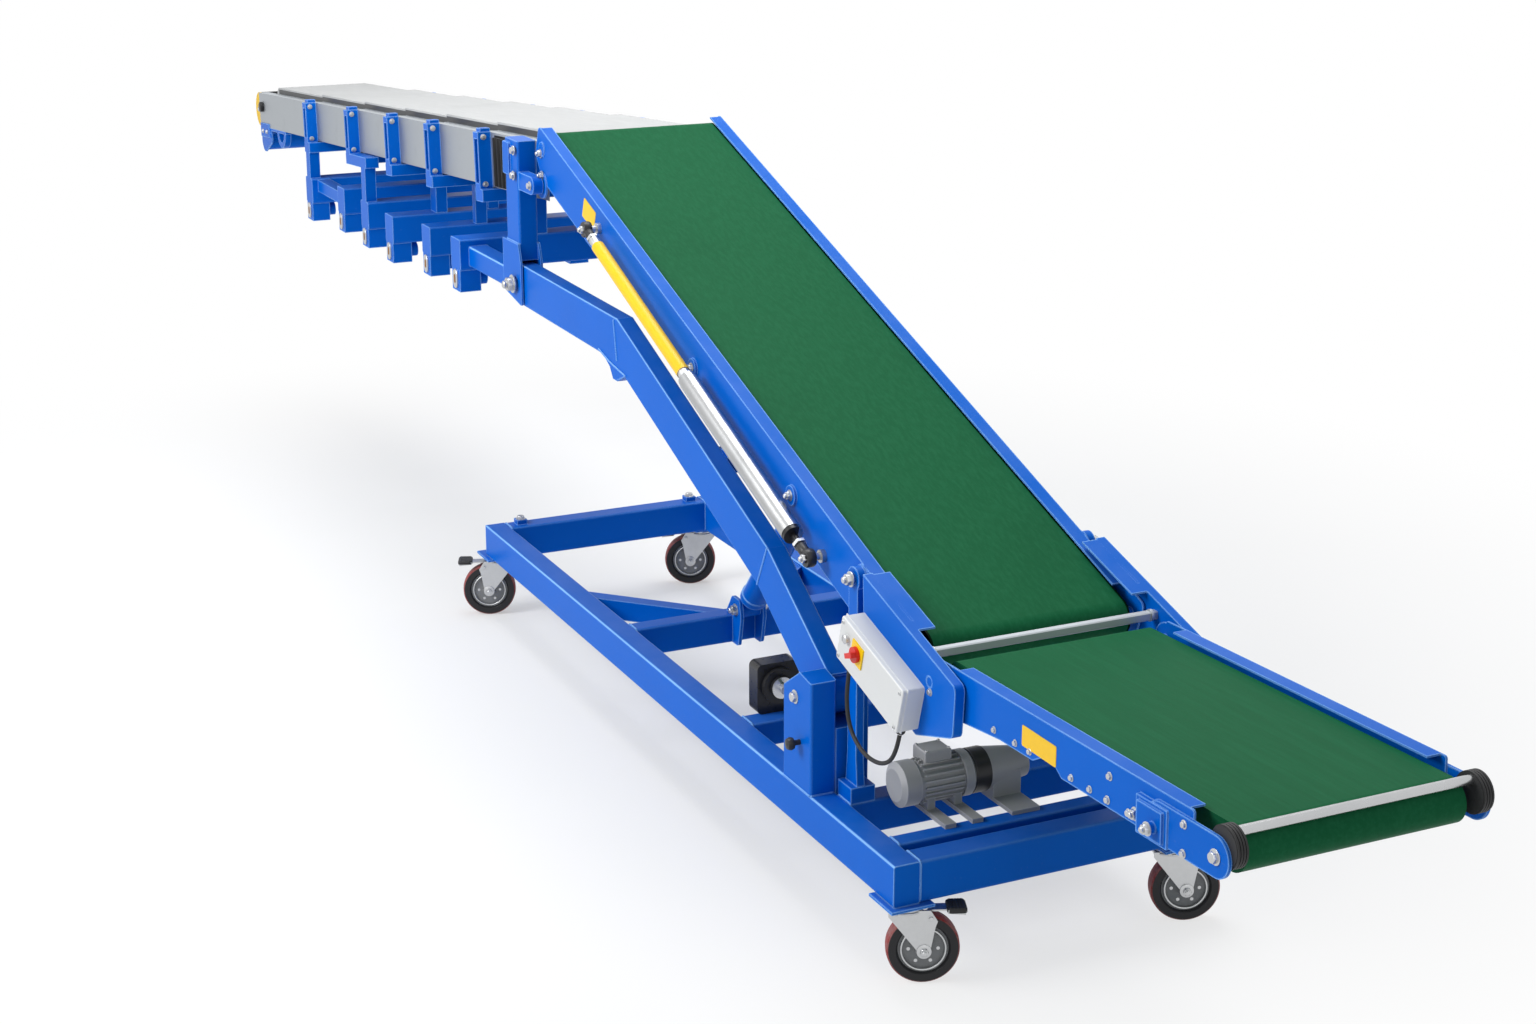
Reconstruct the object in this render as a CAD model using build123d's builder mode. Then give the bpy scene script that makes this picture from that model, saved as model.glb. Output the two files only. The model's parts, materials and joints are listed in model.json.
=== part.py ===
from build123d import *
from math import atan2, cos, degrees, hypot, pi, radians, sin, tan
import os

os.makedirs("parts", exist_ok=True)

# Truck loading conveyor. Millimetres, +X towards the infeed end, +Z up, floor at zero.
# X is measured from the front face of the chassis until a piece is saved.

# Belts, frames and chassis, from the middle outwards
belt_w = 620
side_gap = 35
web_t = 5
arm_w = 60
arm_out = 15
fork_gap = 5
tube_w = 80
frame_w = belt_w + 2 * (side_gap + web_t)
arm_y = frame_w / 2 + arm_out
rail_in = arm_y + arm_w / 2 + fork_gap
chassis_w = 2 * (rail_in + tube_w)
half_w = frame_w / 2

# Chassis tubes
chassis_l = 3270
tube_h = 120
tube_r = 8
wheel_d = 200
wheel_w = 50
head_h = 40
caster_h = wheel_d + head_h
chassis_top = caster_h + tube_h

# Casters
trail = 48
plate_t = 8
fork_t = 5
hub_gap = 6
axle_r = 8
caster_y = rail_in + 20
wheel_fit = 0.05

# Arms that lift the boom. Points are X and Z of the centre line.
arm_h = 150
foot_up = 265
head_rise = 707
head_back = 2466
pin_r = 15
pin_fit = 0.05
arm_foot = (-590, chassis_top + foot_up)
arm_head = (arm_foot[0] - head_back, arm_foot[1] + head_rise)
arm_kink = (arm_foot[0] - 395, arm_foot[1] + 250)
arm_elbow = (arm_head[0] + 936, arm_head[1] - 14)

# Incline conveyor, hung on the posts of the boom and on a stand
post_rise = 380
post_ahead = 151
belt_t = 4
roller_r = 50
roller_climb = 959
roller_run = 2728
channel_h = 170
flange_w = 44
flange_t = 5
rise = 10
head_pin = (arm_head[0] + post_ahead, arm_head[1] + post_rise)
head_roller = (head_pin[0] + 6, head_pin[1] + 128)
low_roller = (head_roller[0] + roller_run, head_roller[1] - roller_climb)
incline_deg = degrees(atan2(roller_climb, roller_run))
ramp_l = hypot(roller_climb, roller_run)
incline_pin = (arm_foot[0] + post_ahead, arm_foot[1] + post_rise)

# Infeed conveyor
infeed_deg = 1.8
deck_l = 1185
tail_r = 40
nose_r = 55
infeed_h = 118
infeed_belt_w = belt_w - 20
tail_pin = (low_roller[0] + 171, low_roller[1] - 20)
bar_r = 12
bumper_r = 50
bumper_w = 29
bumper_ahead = 39
bumper_up = 10
shaft_r = 15

# Telescopic boom: nested sections, each with a raised tray for its belt
boom_deg = 3.85
boom_start = (head_roller[0] - 91, head_roller[1] + 40)
boom_half = 300
boom_low = 241
tray_rise = 33
tray_in = 50
sheet_t = 2
boom_belt_t = 2
slide_gap = 3
glide_fit = 0.08
tip_ahead = 4400
tip_r = 88
tip_belt_back = 240
tip_roller_r = 45

nose_end = (deck_l + bumper_ahead) * cos(radians(infeed_deg)) + bumper_r
boom_reach = -boom_start[0] + tip_ahead * cos(radians(boom_deg)) + tip_r
x_front = (boom_reach - nose_end) / 2


def block(x, y, z, mode=Mode.ADD):
    """Block between two limits on each axis."""
    with Locations(((x[0] + x[1]) / 2, (y[0] + y[1]) / 2, (z[0] + z[1]) / 2)):
        Box(x[1] - x[0], y[1] - y[0], z[1] - z[0], mode=mode)


def rod(x, z, y, r, mode=Mode.ADD):
    """Round bar along Y between two limits, centred on (x, z)."""
    with Locations((x, (y[0] + y[1]) / 2, z)):
        Cylinder(r, y[1] - y[0], rotation=(90, 0, 0), mode=mode)


def slab(points, y, mode=Mode.ADD, soften=0, where=None):
    """Outline in X and Z carried along Y, with the corners that are asked for rounded."""
    with BuildSketch(Plane(origin=(0, y[1], 0), x_dir=(1, 0, 0), z_dir=(0, -1, 0))) as face:
        with BuildLine():
            Polyline(*points, close=True)
        make_face()
        if soften:
            corners = face.vertices()
            if where is not None:
                spots = [(points[i][0], points[i][1]) for i in where]
                corners = [c for c in corners if any(hypot(c.X - a, c.Z - b) < 0.01 or hypot(c.X - a, c.Y - b) < 0.01 for a, b in spots)]
            fillet(corners, soften)
    extrude(to_extrude=face.sketch, amount=y[1] - y[0], mode=mode)


def thick_line(points, depth):
    """Outline of a bent bar of constant depth about its centre line."""
    top, low = [], []
    for i, (x, z) in enumerate(points):
        turns = []
        if i > 0:
            turns.append((x - points[i - 1][0], z - points[i - 1][1]))
        if i < len(points) - 1:
            turns.append((points[i + 1][0] - x, points[i + 1][1] - z))
        units = [(-b / hypot(a, b), a / hypot(a, b)) for a, b in turns]
        nx = sum(u[0] for u in units)
        nz = sum(u[1] for u in units)
        size = hypot(nx, nz)
        nx, nz = nx / size, nz / size
        reach = depth / 2 / (nx * units[0][0] + nz * units[0][1])
        top.append((x + nx * reach, z + nz * reach))
        low.append((x - nx * reach, z - nz * reach))
    return top + low[::-1]


def side(sign, a, b):
    """Limits in Y of a piece between two distances from the middle, on one side."""
    return (min(sign * a, sign * b), max(sign * a, sign * b))


def save(piece, name):
    """Sets the piece in the frame whose origin is under the middle of the machine."""
    placed = Pos(x_front, 0, 0) * piece.part
    placed.label = name
    export_step(placed, f"parts/{name}.step")


SIDES = (("near", -1), ("far", 1))

# Chassis rails with the posts that carry the arms
post_x = (arm_foot[0] - 78, arm_foot[0] + 98)
inner_t = 30
post_top = arm_foot[1] + 70
foot_r = arm_h / 2 - 10
arm_in = arm_y - arm_w / 2
arm_outer = arm_y + arm_w / 2
for name, sign in SIDES:
    with BuildPart() as rail:
        block((-chassis_l, 0), side(sign, rail_in, chassis_w / 2), (caster_h, chassis_top))
        fillet(rail.edges().filter_by(Axis.X), tube_r)
        block((-chassis_l - 6, -chassis_l + 10), side(sign, rail_in + 2, chassis_w / 2 - 2), (caster_h + 2, chassis_top - 2))
        outer = [
            (post_x[0], chassis_top - 1),
            (post_x[1], chassis_top - 1),
            (post_x[1], post_top),
            (post_x[1] - 70, post_top + 12),
            (post_x[0], post_top - 60),
        ]
        with BuildPart(mode=Mode.PRIVATE) as tube:
            slab(outer, side(sign, rail_in, chassis_w / 2))
            fillet(tube.edges().filter_by(Axis.Z), tube_r)
        add(tube.part)
        slab(outer, side(sign, arm_in - fork_gap - inner_t, arm_in - fork_gap))
        block(post_x, side(sign, arm_in - fork_gap - inner_t, rail_in + 1), (chassis_top - 40, arm_foot[1] - foot_r - 8))
        pins = side(sign, arm_in - fork_gap - inner_t - 1, chassis_w / 2 + 1)
        rod(arm_foot[0], arm_foot[1], pins, pin_r, mode=Mode.SUBTRACT)
        for at in (-45, -chassis_l):
            block((at - 65, at + 65), side(sign, caster_y - 55, caster_y + 75), (caster_h - plate_t, caster_h))
    save(rail, f"chassis_rail_{name}")

# Crossbars of the chassis: rear face, width along the machine, depth
bars = {
    "rear": (-chassis_l, tube_w, tube_h),
    "middle": (arm_foot[0] - 530, tube_w, 80),
    "motor": (arm_foot[0] + 415, 60, 100),
    "front": (-tube_w, tube_w, tube_h),
}
for name, (x, w, h) in bars.items():
    with BuildPart() as bar:
        block((x, x + w), (-rail_in, rail_in), (chassis_top - h, chassis_top))
        fillet(bar.edges().filter_by(Axis.Y), tube_r)
        if name == "rear":
            for y in (-1, 1):
                block((x + 14, x + 54), side(y, rail_in - 70, rail_in - 30), (chassis_top - 1, chassis_top + 18))
                with Locations((x + 34, y * (rail_in - 50), chassis_top + 8)):
                    Cylinder(6, 24, mode=Mode.SUBTRACT)
    save(bar, f"crossbar_{name}")

# Crossbar with the lifting clevis and its two diagonal braces
clevis_in = 36
clevis_t = 12
clevis = (arm_foot[0] - 1340, chassis_top + 25)
bar_x = clevis[0] - 60
with BuildPart() as lift_bar:
    block((bar_x - 35, bar_x + 35), (-rail_in, rail_in), (chassis_top - 100, chassis_top))
    fillet(lift_bar.edges().filter_by(Axis.Y), tube_r)
    for sign in (-1, 1):
        with BuildSketch(Plane.XY.offset(chassis_top - 80)) as brace:
            with BuildLine():
                Polyline(
                    (bar_x - 430, sign * rail_in),
                    (bar_x - 350, sign * rail_in),
                    (bar_x - 25, sign * 80),
                    (bar_x - 25, sign * 12),
                    close=True,
                )
            make_face()
        extrude(to_extrude=brace.sketch, amount=70)
        cheek = [
            (bar_x - 20, chassis_top - 100),
            (clevis[0] + 20, chassis_top - 100),
            (clevis[0] + 42, clevis[1] - 20),
            (clevis[0] + 30, clevis[1] + 42),
            (clevis[0] - 30, clevis[1] + 42),
            (bar_x - 30, chassis_top - 20),
        ]
        slab(cheek, side(sign, clevis_in, clevis_in + clevis_t), soften=14, where=(1, 2, 3, 4))
    rod(clevis[0], clevis[1], (-60, 60), pin_r, mode=Mode.SUBTRACT)
save(lift_bar, "crossbar_lift")

# Stand that carries the foot of the incline
stand_in = half_w + 5
stand_t = 24
stand_w = 52
with BuildPart() as stand:
    x, z = incline_pin
    block((x - 40, x + 40), (-rail_in, rail_in), (chassis_top - 100, chassis_top))
    fillet(stand.edges().filter_by(Axis.Y), tube_r)
    for sign in (-1, 1):
        upright = [
            (x - 40, chassis_top - 1),
            (x + 40, chassis_top - 1),
            (x + stand_w / 2, chassis_top + 130),
            (x + stand_w / 2, z),
            (x - stand_w / 2, z),
            (x - stand_w / 2, chassis_top + 130),
        ]
        y = side(sign, stand_in, stand_in + stand_t)
        slab(upright, y)
        rod(x, z, y, 34)
        rod(x, z, side(sign, stand_in - 10, stand_in + stand_t + 10), pin_r, mode=Mode.SUBTRACT)
        block((x - 40, x + 40), side(sign, stand_in - 30, rail_in), (chassis_top - 1, chassis_top + 46))
save(stand, "incline_stand")

# Gear motor across the crossbars: ribbed case, fan cover, black coupling and gearbox
motor_x = arm_foot[0] + 290
motor_r = 64
motor_z = chassis_top + motor_r + 18
motor_l = 215
fan_y = -310
base_t = 12
with BuildPart() as motor:
    case_y = fan_y + 60
    end_y = fan_y + motor_l
    rod(motor_x, motor_z, (fan_y + 40, end_y), motor_r - 8)
    with Locations((motor_x, fan_y, motor_z)):
        with Locations(Rotation(-90, 0, 0)):
            with Locations((0, 0, 23)):
                Cylinder(motor_r, 46)
            with Locations((0, 0, -5)):
                Cone(motor_r - 18, motor_r, 10)
    fin_h = 6
    fins = 22
    for i in range(fins):
        turn = 2 * pi * i / fins
        at = (motor_x + (motor_r - fin_h) * cos(turn), (case_y + end_y - 34) / 2, motor_z + (motor_r - fin_h) * sin(turn))
        with Locations(Location(at, (0, -degrees(turn), 0))):
            Box(2 * fin_h, end_y - 34 - case_y, 4)
    rod(motor_x, motor_z, (end_y - 30, end_y - 4), motor_r + 2)
    foot_z = (chassis_top + base_t, motor_z - motor_r / 2)
    block((motor_x - 48, motor_x + 48), (case_y + 10, case_y + 34), foot_z)
    block((motor_x - 48, motor_x + 48), (end_y - 60, end_y - 36), foot_z)
    lug_x = (incline_pin[0] + 12, bars["motor"][0] + 30)
    for at in (case_y + 6, end_y - 64):
        block(lug_x, (at, at + 34), (chassis_top, chassis_top + base_t + 1))
    block((motor_x - 46, motor_x + 24), (case_y + 14, case_y + 96), (motor_z + motor_r - 12, motor_z + motor_r + 26))
    fillet(motor.faces().sort_by(Axis.Z)[-1].edges(), 5)
save(motor, "drive_motor")
gear_l = 185
with BuildPart() as gearbox:
    rod(motor_x, motor_z, (end_y, end_y + 36), motor_r - 2)
    rod(motor_x, motor_z, (end_y + 35, end_y + 52), motor_r - 10)
    with Locations((motor_x, end_y + 52, motor_z)):
        with Locations(Rotation(-90, 0, 0)):
            with Locations((0, 0, 65)):
                Cone(motor_r - 2, motor_r - 20, gear_l - 55)
    block((motor_x - 52, motor_x + 52), (end_y + 62, end_y + 150), (chassis_top + base_t - 1, motor_z))
    block(lug_x, (end_y + 62, end_y + 150), (chassis_top, chassis_top + base_t))
save(gearbox, "drive_gearbox")

# Black switch housing that reads the arm's angle, with its zinc crank
crank_x = bars["middle"][0] + 20
with BuildPart() as crank_housing:
    block((crank_x - 60, crank_x), (-rail_in + 43, -rail_in + 183), (chassis_top, chassis_top + 160))
    fillet(crank_housing.edges().filter_by(Axis.X), 18)
    hub = (crank_x, -rail_in + 113, chassis_top + 88)
    with Locations(Location(hub, (0, 90, 0))):
        with Locations((0, 0, 8)):
            Cylinder(56, 16)
        with Locations((0, 0, 22)):
            Cylinder(34, 18)
        with Locations((0, 0, 34)):
            Cylinder(13, 30)
    crank = [(crank_x + 30, hub[2] - 14), (crank_x + 62, hub[2] - 14), (crank_x + 330, hub[2] + 66), (crank_x + 330, hub[2] + 90), (crank_x + 30, hub[2] + 14)]
    slab(crank, (hub[1] - 6, hub[1] + 6), soften=5)
save(crank_housing, "crank_housing")

# Casters: place and direction of trail in degrees
casters = {
    "front_near": (-45, -caster_y, 68),
    "front_far": (-45, caster_y, 68),
    "rear_near": (-chassis_l, -caster_y, 248),
    "rear_far": (-chassis_l, caster_y, 248),
}
for name, (x, y, turn) in casters.items():
    here = Plane(origin=(x, y, 0), x_dir=(cos(radians(turn)), sin(radians(turn)), 0), z_dir=(0, 0, 1))
    top = caster_h - plate_t
    hub = wheel_d / 2
    inside = wheel_w / 2 + hub_gap
    with BuildPart(here) as fork:
        with Locations((0, 0, top - 0.3 - 7)):
            Cylinder(42, 14)
        with Locations((8, 0, top - 18)):
            Box(112, 2 * (inside + fork_t), 8)
        for sign in (-1, 1):
            face = here * Plane(origin=(0, sign * inside, 0), x_dir=(1, 0, 0), z_dir=(0, sign, 0))
            flip = 1 if sign < 0 else -1
            with BuildSketch(face) as leg:
                with BuildLine():
                    Polyline(
                        (-48, flip * (top - 14)),
                        (64, flip * (top - 14)),
                        (84, flip * (top - 46)),
                        (trail + 30, flip * (top - 62)),
                        (trail + 17, flip * hub),
                        (trail - 17, flip * hub),
                        (-48, flip * (top - 30)),
                        close=True,
                    )
                make_face()
                with Locations((trail, flip * hub)):
                    Circle(17)
            extrude(to_extrude=leg.sketch, amount=fork_t)
        with Locations((trail, 0, hub)):
            Cylinder(axle_r, 2 * (inside + fork_t) + 4, rotation=(90, 0, 0))
        for sign in (-1, 1):
            with Locations((trail, sign * (inside + fork_t + 3), hub)):
                Cylinder(12, 8, rotation=(90, 0, 0))
        with Locations((92, 0, top - 22)):
            Box(80, 38, 5)
            with Locations((44, 0, -2)):
                with Locations(Rotation(0, 6, 0)):
                    Box(48, 62, 11)
    save(fork, f"caster_fork_{name}")
    with BuildPart(here) as wheel:
        with BuildSketch(here * Plane(origin=(trail, 0, hub), x_dir=(0, 0, 1), z_dir=(-1, 0, 0))) as half:
            w = wheel_w / 2
            r = wheel_d / 2
            rim = r - 18
            with BuildLine():
                Polyline(
                    (axle_r + wheel_fit, -w - 3),
                    (19, -w - 3),
                    (24, -w + 7),
                    (rim - 14, -w + 9),
                    (rim - 8, -w + 1),
                    (rim, -w + 1),
                    (r - 6, -w + 1),
                    (r - 1.5, -w + 6),
                    (r, 0),
                    (r - 1.5, w - 6),
                    (r - 6, w - 1),
                    (rim, w - 1),
                    (rim - 8, w - 1),
                    (rim - 14, w - 9),
                    (24, w - 7),
                    (19, w + 3),
                    (axle_r + wheel_fit, w + 3),
                    close=True,
                )
            make_face()
        hub_axis = Axis(here.from_local_coords(Vector(trail, 0, hub)), here.y_dir)
        revolve(half.sketch, axis=hub_axis)
    save(wheel, f"caster_wheel_{name}")

# Arms: bent box tubes with a gusset under the elbow
arm_line = [arm_foot, arm_kink, arm_elbow, arm_head]
for name, sign in SIDES:
    y = side(sign, arm_in, arm_outer)
    with BuildPart() as arm:
        slab(thick_line(arm_line, arm_h), y)
        rod(arm_foot[0], arm_foot[1], y, foot_r)
        rod(arm_head[0], arm_head[1], y, arm_h / 2)
        ex, ez = arm_elbow
        gusset = [(ex + 60, ez - 30), (ex - 150, ez - 60), (ex - 96, ez - 84), (ex - 56, ez - 104), (ex - 28, ez - 140), (ex + 6, ez - 140), (ex + 90, ez - 104)]
        slab(gusset, y)
        fillet(arm.faces().filter_by(Axis.Y).edges(), 5)
        rod(arm_head[0], arm_head[1], y, pin_r, mode=Mode.SUBTRACT)
        foot_pin = side(sign, arm_in - fork_gap - inner_t, chassis_w / 2)
        rod(arm_foot[0], arm_foot[1], foot_pin, pin_r - pin_fit)
    save(arm, f"arm_{name}")

# Tie between the arms, with the lug and the pin of the lifting cylinder
lug = (arm_foot[0] - 810, arm_foot[1] + 375)
lug_t = 12
lug_pin_r = 11
eye_r = 34
with BuildPart() as arm_tie:
    block((lug[0] - 40, lug[0] + 40), (-arm_in, arm_in), (lug[1] + eye_r + 16, lug[1] + eye_r + 86))
    fillet(arm_tie.edges().filter_by(Axis.Y), tube_r)
    for sign in (-1, 1):
        ear = [(lug[0] - 34, lug[1] + eye_r + 24), (lug[0] + 34, lug[1] + eye_r + 24), (lug[0] + 24, lug[1] - 24), (lug[0] - 24, lug[1] - 24)]
        slab(ear, side(sign, clevis_in, clevis_in + lug_t), soften=12, where=(2, 3))
    rod(lug[0], lug[1], (-clevis_in - lug_t - 8, clevis_in + lug_t + 8), lug_pin_r)
save(arm_tie, "arm_tie")

# Lifting cylinder. The eye of its ram stays open on the pin, for the arc the lug swings through.
eye_slack = 11
cyl_l = hypot(lug[0] - clevis[0], lug[1] - clevis[1])
cyl_dir = Plane(origin=(clevis[0], 0, clevis[1]), x_dir=(0, 1, 0), z_dir=(lug[0] - clevis[0], 0, lug[1] - clevis[1]))
barrel_r = 45
ram_r = 20
barrel_from = 58
barrel_to = cyl_l - 215
with BuildPart(cyl_dir) as barrel:
    with BuildSketch(cyl_dir * Plane(origin=(0, 0, 0), x_dir=(1, 0, 0), z_dir=(0, -1, 0))) as half:
        with BuildLine():
            Polyline(
                (0, barrel_from - 34),
                (20, barrel_from - 30),
                (barrel_r - 6, barrel_from),
                (barrel_r + 3, barrel_from + 6),
                (barrel_r + 3, barrel_from + 30),
                (barrel_r, barrel_from + 32),
                (barrel_r, barrel_to - 50),
                (barrel_r + 5, barrel_to - 48),
                (barrel_r + 5, barrel_to - 8),
                (barrel_r - 12, barrel_to),
                (ram_r + wheel_fit, barrel_to),
                (ram_r + wheel_fit, barrel_from + 60),
                (0, barrel_from + 60),
                close=True,
            )
        make_face()
    revolve(half.sketch, axis=Axis((clevis[0], 0, clevis[1]), cyl_dir.z_dir))
    Cylinder(30, 2 * clevis_in - 4, rotation=(0, 90, 0))
    Cylinder(pin_r - pin_fit, 2 * (clevis_in + clevis_t) + 14, rotation=(0, 90, 0))
save(barrel, "lift_cylinder")
with BuildPart(cyl_dir) as ram:
    ram_from = barrel_from + 180
    with Locations((0, 0, (cyl_l - 24 + ram_from) / 2)):
        Cylinder(ram_r, cyl_l - 24 - ram_from)
    with Locations((0, 0, cyl_l)):
        Cylinder(eye_r, 2 * clevis_in - 10, rotation=(0, 90, 0))
        Cylinder(lug_pin_r + eye_slack, 2 * clevis_in, rotation=(0, 90, 0), mode=Mode.SUBTRACT)
save(ram, "lift_ram")

# Incline conveyor frame. Local X runs down the slope, local Z stands square to the belt.
ramp = Plane(
    origin=(low_roller[0], 0, low_roller[1]),
    x_dir=(cos(radians(incline_deg)), 0, -sin(radians(incline_deg))),
    z_dir=(sin(radians(incline_deg)), 0, cos(radians(incline_deg))),
)
belt_top = roller_r + belt_t
web_top = belt_top + rise
web_low = web_top - channel_h
bed_t = 62
with BuildPart(ramp) as incline_belt:
    with BuildSketch(ramp * Plane(origin=(0, belt_w / 2, 0), x_dir=(1, 0, 0), z_dir=(0, -1, 0))) as loop:
        for at in (0, -ramp_l):
            with Locations((at, 0)):
                Circle(belt_top)
        make_hull()
    extrude(to_extrude=loop.sketch, amount=belt_w)
save(incline_belt, "incline_belt")


def on_ramp(x, z):
    """Place of a side-view point in the ramp's own frame."""
    p = ramp.to_local_coords(Vector(x, 0, z))
    return p.X, p.Z


pin_in = on_ramp(*incline_pin)
head_in = on_ramp(*head_pin)
web_end = -ramp_l - 58
web_start = 45
ears = (-1420, -690, -640)
for name, sign in SIDES:
    with BuildPart(ramp) as channel:
        web = side(sign, half_w - web_t, half_w)
        outline = [
            (web_start, web_low + 40),
            (web_start, web_top),
            (web_end, web_top),
            (web_end, web_low + 60),
            (web_end + 90, web_low),
            (web_start - 60, web_low),
        ]
        with BuildSketch(ramp * Plane(origin=(0, web[1], 0), x_dir=(1, 0, 0), z_dir=(0, -1, 0))) as sheet:
            with BuildLine():
                Polyline(*outline, close=True)
            make_face()
            fillet(sheet.vertices(), 20)
        extrude(to_extrude=sheet.sketch, amount=web_t)
        block((web_end + 20, -60), side(sign, half_w - flange_w, half_w), (web_top - flange_t, web_top))
        block((web_end + 100, -80), side(sign, half_w - flange_w, half_w), (web_low, web_low + flange_t))
        block((web_end + 110, -90), side(sign, half_w - flange_w, half_w - flange_w + 4), (web_low, web_low + 18))
        for at, z, r in ((head_in[0], head_in[1], 48), (pin_in[0], pin_in[1], 36)):
            rod(at, z, side(sign, half_w - 3, half_w + 4.5), r)
        for at, z in ((-1480, -34), (-745, -10)):
            rod(at, z, side(sign, half_w - 3, half_w + 8), 30)
        rod(pin_in[0], pin_in[1], side(sign, half_w - 1, stand_in + stand_t + 8), pin_r - pin_fit)
        rod(head_in[0], head_in[1], side(sign, half_w - 1, half_w + 48), pin_r - pin_fit)
        for at in (0, -ramp_l):
            rod(at, 0, side(sign, belt_w / 2, half_w - 1), 18)
        rod(-ramp_l, 0, side(sign, half_w - 1, half_w + 4), 26)
    save(channel, f"incline_side_{name}")

# Square bar across the transfer, and the folded covers beside it
cover_in = half_w + 6
cover_out = half_w + 35
bar_s = 24
tx, tz = tail_pin
with BuildPart() as transfer_bar:
    block((tx - 80, tx - 80 + bar_s), (-cover_in, cover_in), (tz + 37, tz + 37 + bar_s))
    chamfer(transfer_bar.edges().filter_by(Axis.Y), 3)
    for sign in (-1, 1):
        rod(tx - 68, tz + 49, side(sign, half_w - 16, half_w - 8), 17)
save(transfer_bar, "transfer_bar")
cover_line = [
    (tx - 372, tz + 178),
    (tx + 135, tz + 29),
    (tx + 125, tz - 111),
    (tx - 67, tz - 172),
    (tx - 320, tz - 81),
    (tx - 362, tz - 16),
]
fold = (tz + 178 - (tz + 29)) / 507
for name, sign in SIDES:
    with BuildPart() as cover:
        slab(cover_line, side(sign, cover_in, cover_out), soften=22, where=(1, 2, 3))
        seat = [
            (tx - 366, tz + 176),
            (tx - 150, tz + 113),
            (tx - 150, tz - 100),
            (tx - 316, tz - 76),
            (tx - 356, tz - 14),
        ]
        slab(seat, side(sign, half_w, cover_in + 1))
        lip = [
            (tx - 366, tz + 176.2),
            (tx - 112, tz + 101.6),
            (tx - 112, tz + 96.6),
            (tx - 366, tz + 171.2),
        ]
        slab(lip, side(sign, half_w - flange_w, cover_out - 1))
        rod(tx, tz, side(sign, half_w - 1, cover_out + 5), pin_r, mode=Mode.SUBTRACT)
    save(cover, f"transfer_cover_{name}")

# Control box on the near cover, square to its slanting front
box_d = 65
box_turn = 16
box_at = (tx - 211, tz - 40)
box_size = (360, 136)
gland_out = 150
gland_r = 11
gland_l = 25
cable_d = 12
box_plane = Plane(
    origin=(box_at[0], -cover_out, box_at[1]),
    x_dir=(cos(radians(box_turn)), 0, -sin(radians(box_turn))),
    z_dir=(0, -1, 0),
)
with BuildPart() as control_box:
    with BuildSketch(box_plane) as shell:
        Rectangle(*box_size)
    extrude(to_extrude=shell.sketch, amount=box_d)
    fillet(control_box.edges().filter_by(Axis.Y), 9)
    fillet(control_box.faces().sort_by(Axis.Y)[0].edges(), 4)
    with Locations(box_plane * Location((0, 0, box_d - 15))):
        Box(box_size[0] + 2.4, box_size[1] + 2.4, 3)
    for at in (-gland_out, gland_out):
        with Locations(box_plane * Location((at, -box_size[1] / 2 - gland_l / 2 + 1, box_d / 2))):
            Cylinder(gland_r, gland_l, rotation=(90, 0, 0))
    with Locations(box_plane * Location((-132, 22, box_d + 4))):
        Cylinder(11, 8)
save(control_box, "control_box")
with BuildPart() as rotary_switch:
    with Locations(box_plane * Location((-70, 14, box_d + 2))):
        Box(62, 62, 4)
    with Locations(box_plane * Location((-70, 14, box_d + 9))):
        Cylinder(22, 12)
    with Locations(box_plane * Location((-70, 14, box_d + 22))):
        with Locations(Rotation(0, 0, 35)):
            Box(40, 14, 16)
save(rotary_switch, "rotary_switch")

# Black cable that hangs in a loop between the two glands under the control box
gland_y = box_size[1] / 2 + gland_l - 1
g1 = box_plane.from_local_coords(Vector(-gland_out, -gland_y, 0))
g2 = box_plane.from_local_coords(Vector(gland_out, -gland_y, 0))
down = (-sin(radians(box_turn)), -cos(radians(box_turn)))
loop_line = [
    (g1.X, g1.Z),
    (g1.X + 75 * down[0], g1.Z + 75 * down[1]),
    (g1.X - 4, g1.Z - 174),
    (g1.X + 80, g1.Z - 222),
    (g1.X + 190, g1.Z - 214),
    (g2.X + 80 * down[0], g2.Z + 80 * down[1]),
    (g2.X, g2.Z),
]
loop_r = []
for i in range(1, len(loop_line) - 1):
    before = (loop_line[i][0] - loop_line[i - 1][0], loop_line[i][1] - loop_line[i - 1][1])
    after = (loop_line[i + 1][0] - loop_line[i][0], loop_line[i + 1][1] - loop_line[i][1])
    turn = abs(atan2(before[0] * after[1] - before[1] * after[0], before[0] * after[0] + before[1] * after[1]))
    loop_r.append(0.45 * min(hypot(*before), hypot(*after)) / tan(turn / 2))
print("cable bends", [round(r) for r in loop_r])
cable_y = -(cover_out + box_d / 2)
with BuildPart() as control_cable:
    with BuildLine() as run:
        FilletPolyline(*[(x, cable_y, z) for x, z in loop_line], radius=loop_r)
    with BuildSketch(Plane(origin=run.line @ 0, z_dir=run.line % 0)) as round_face:
        Circle(cable_d / 2)
    sweep()
save(control_cable, "control_cable")

# Strut beside the incline: chromed barrel, sleeve and yellow tube between two ball eyes
strut_low = (arm_foot[0] - 83, arm_foot[1] + 372)
strut_top = (strut_low[0] - 1684, strut_low[1] + 651)
strut_y = -(half_w + 48)
strut_r = 30
strut_l = hypot(strut_top[0] - strut_low[0], strut_top[1] - strut_low[1])
barrel_span = (105, 905)
strut_dir = Plane(
    origin=(strut_low[0], strut_y, strut_low[1]),
    x_dir=(0, 1, 0),
    z_dir=(strut_top[0] - strut_low[0], 0, strut_top[1] - strut_low[1]),
)


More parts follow.
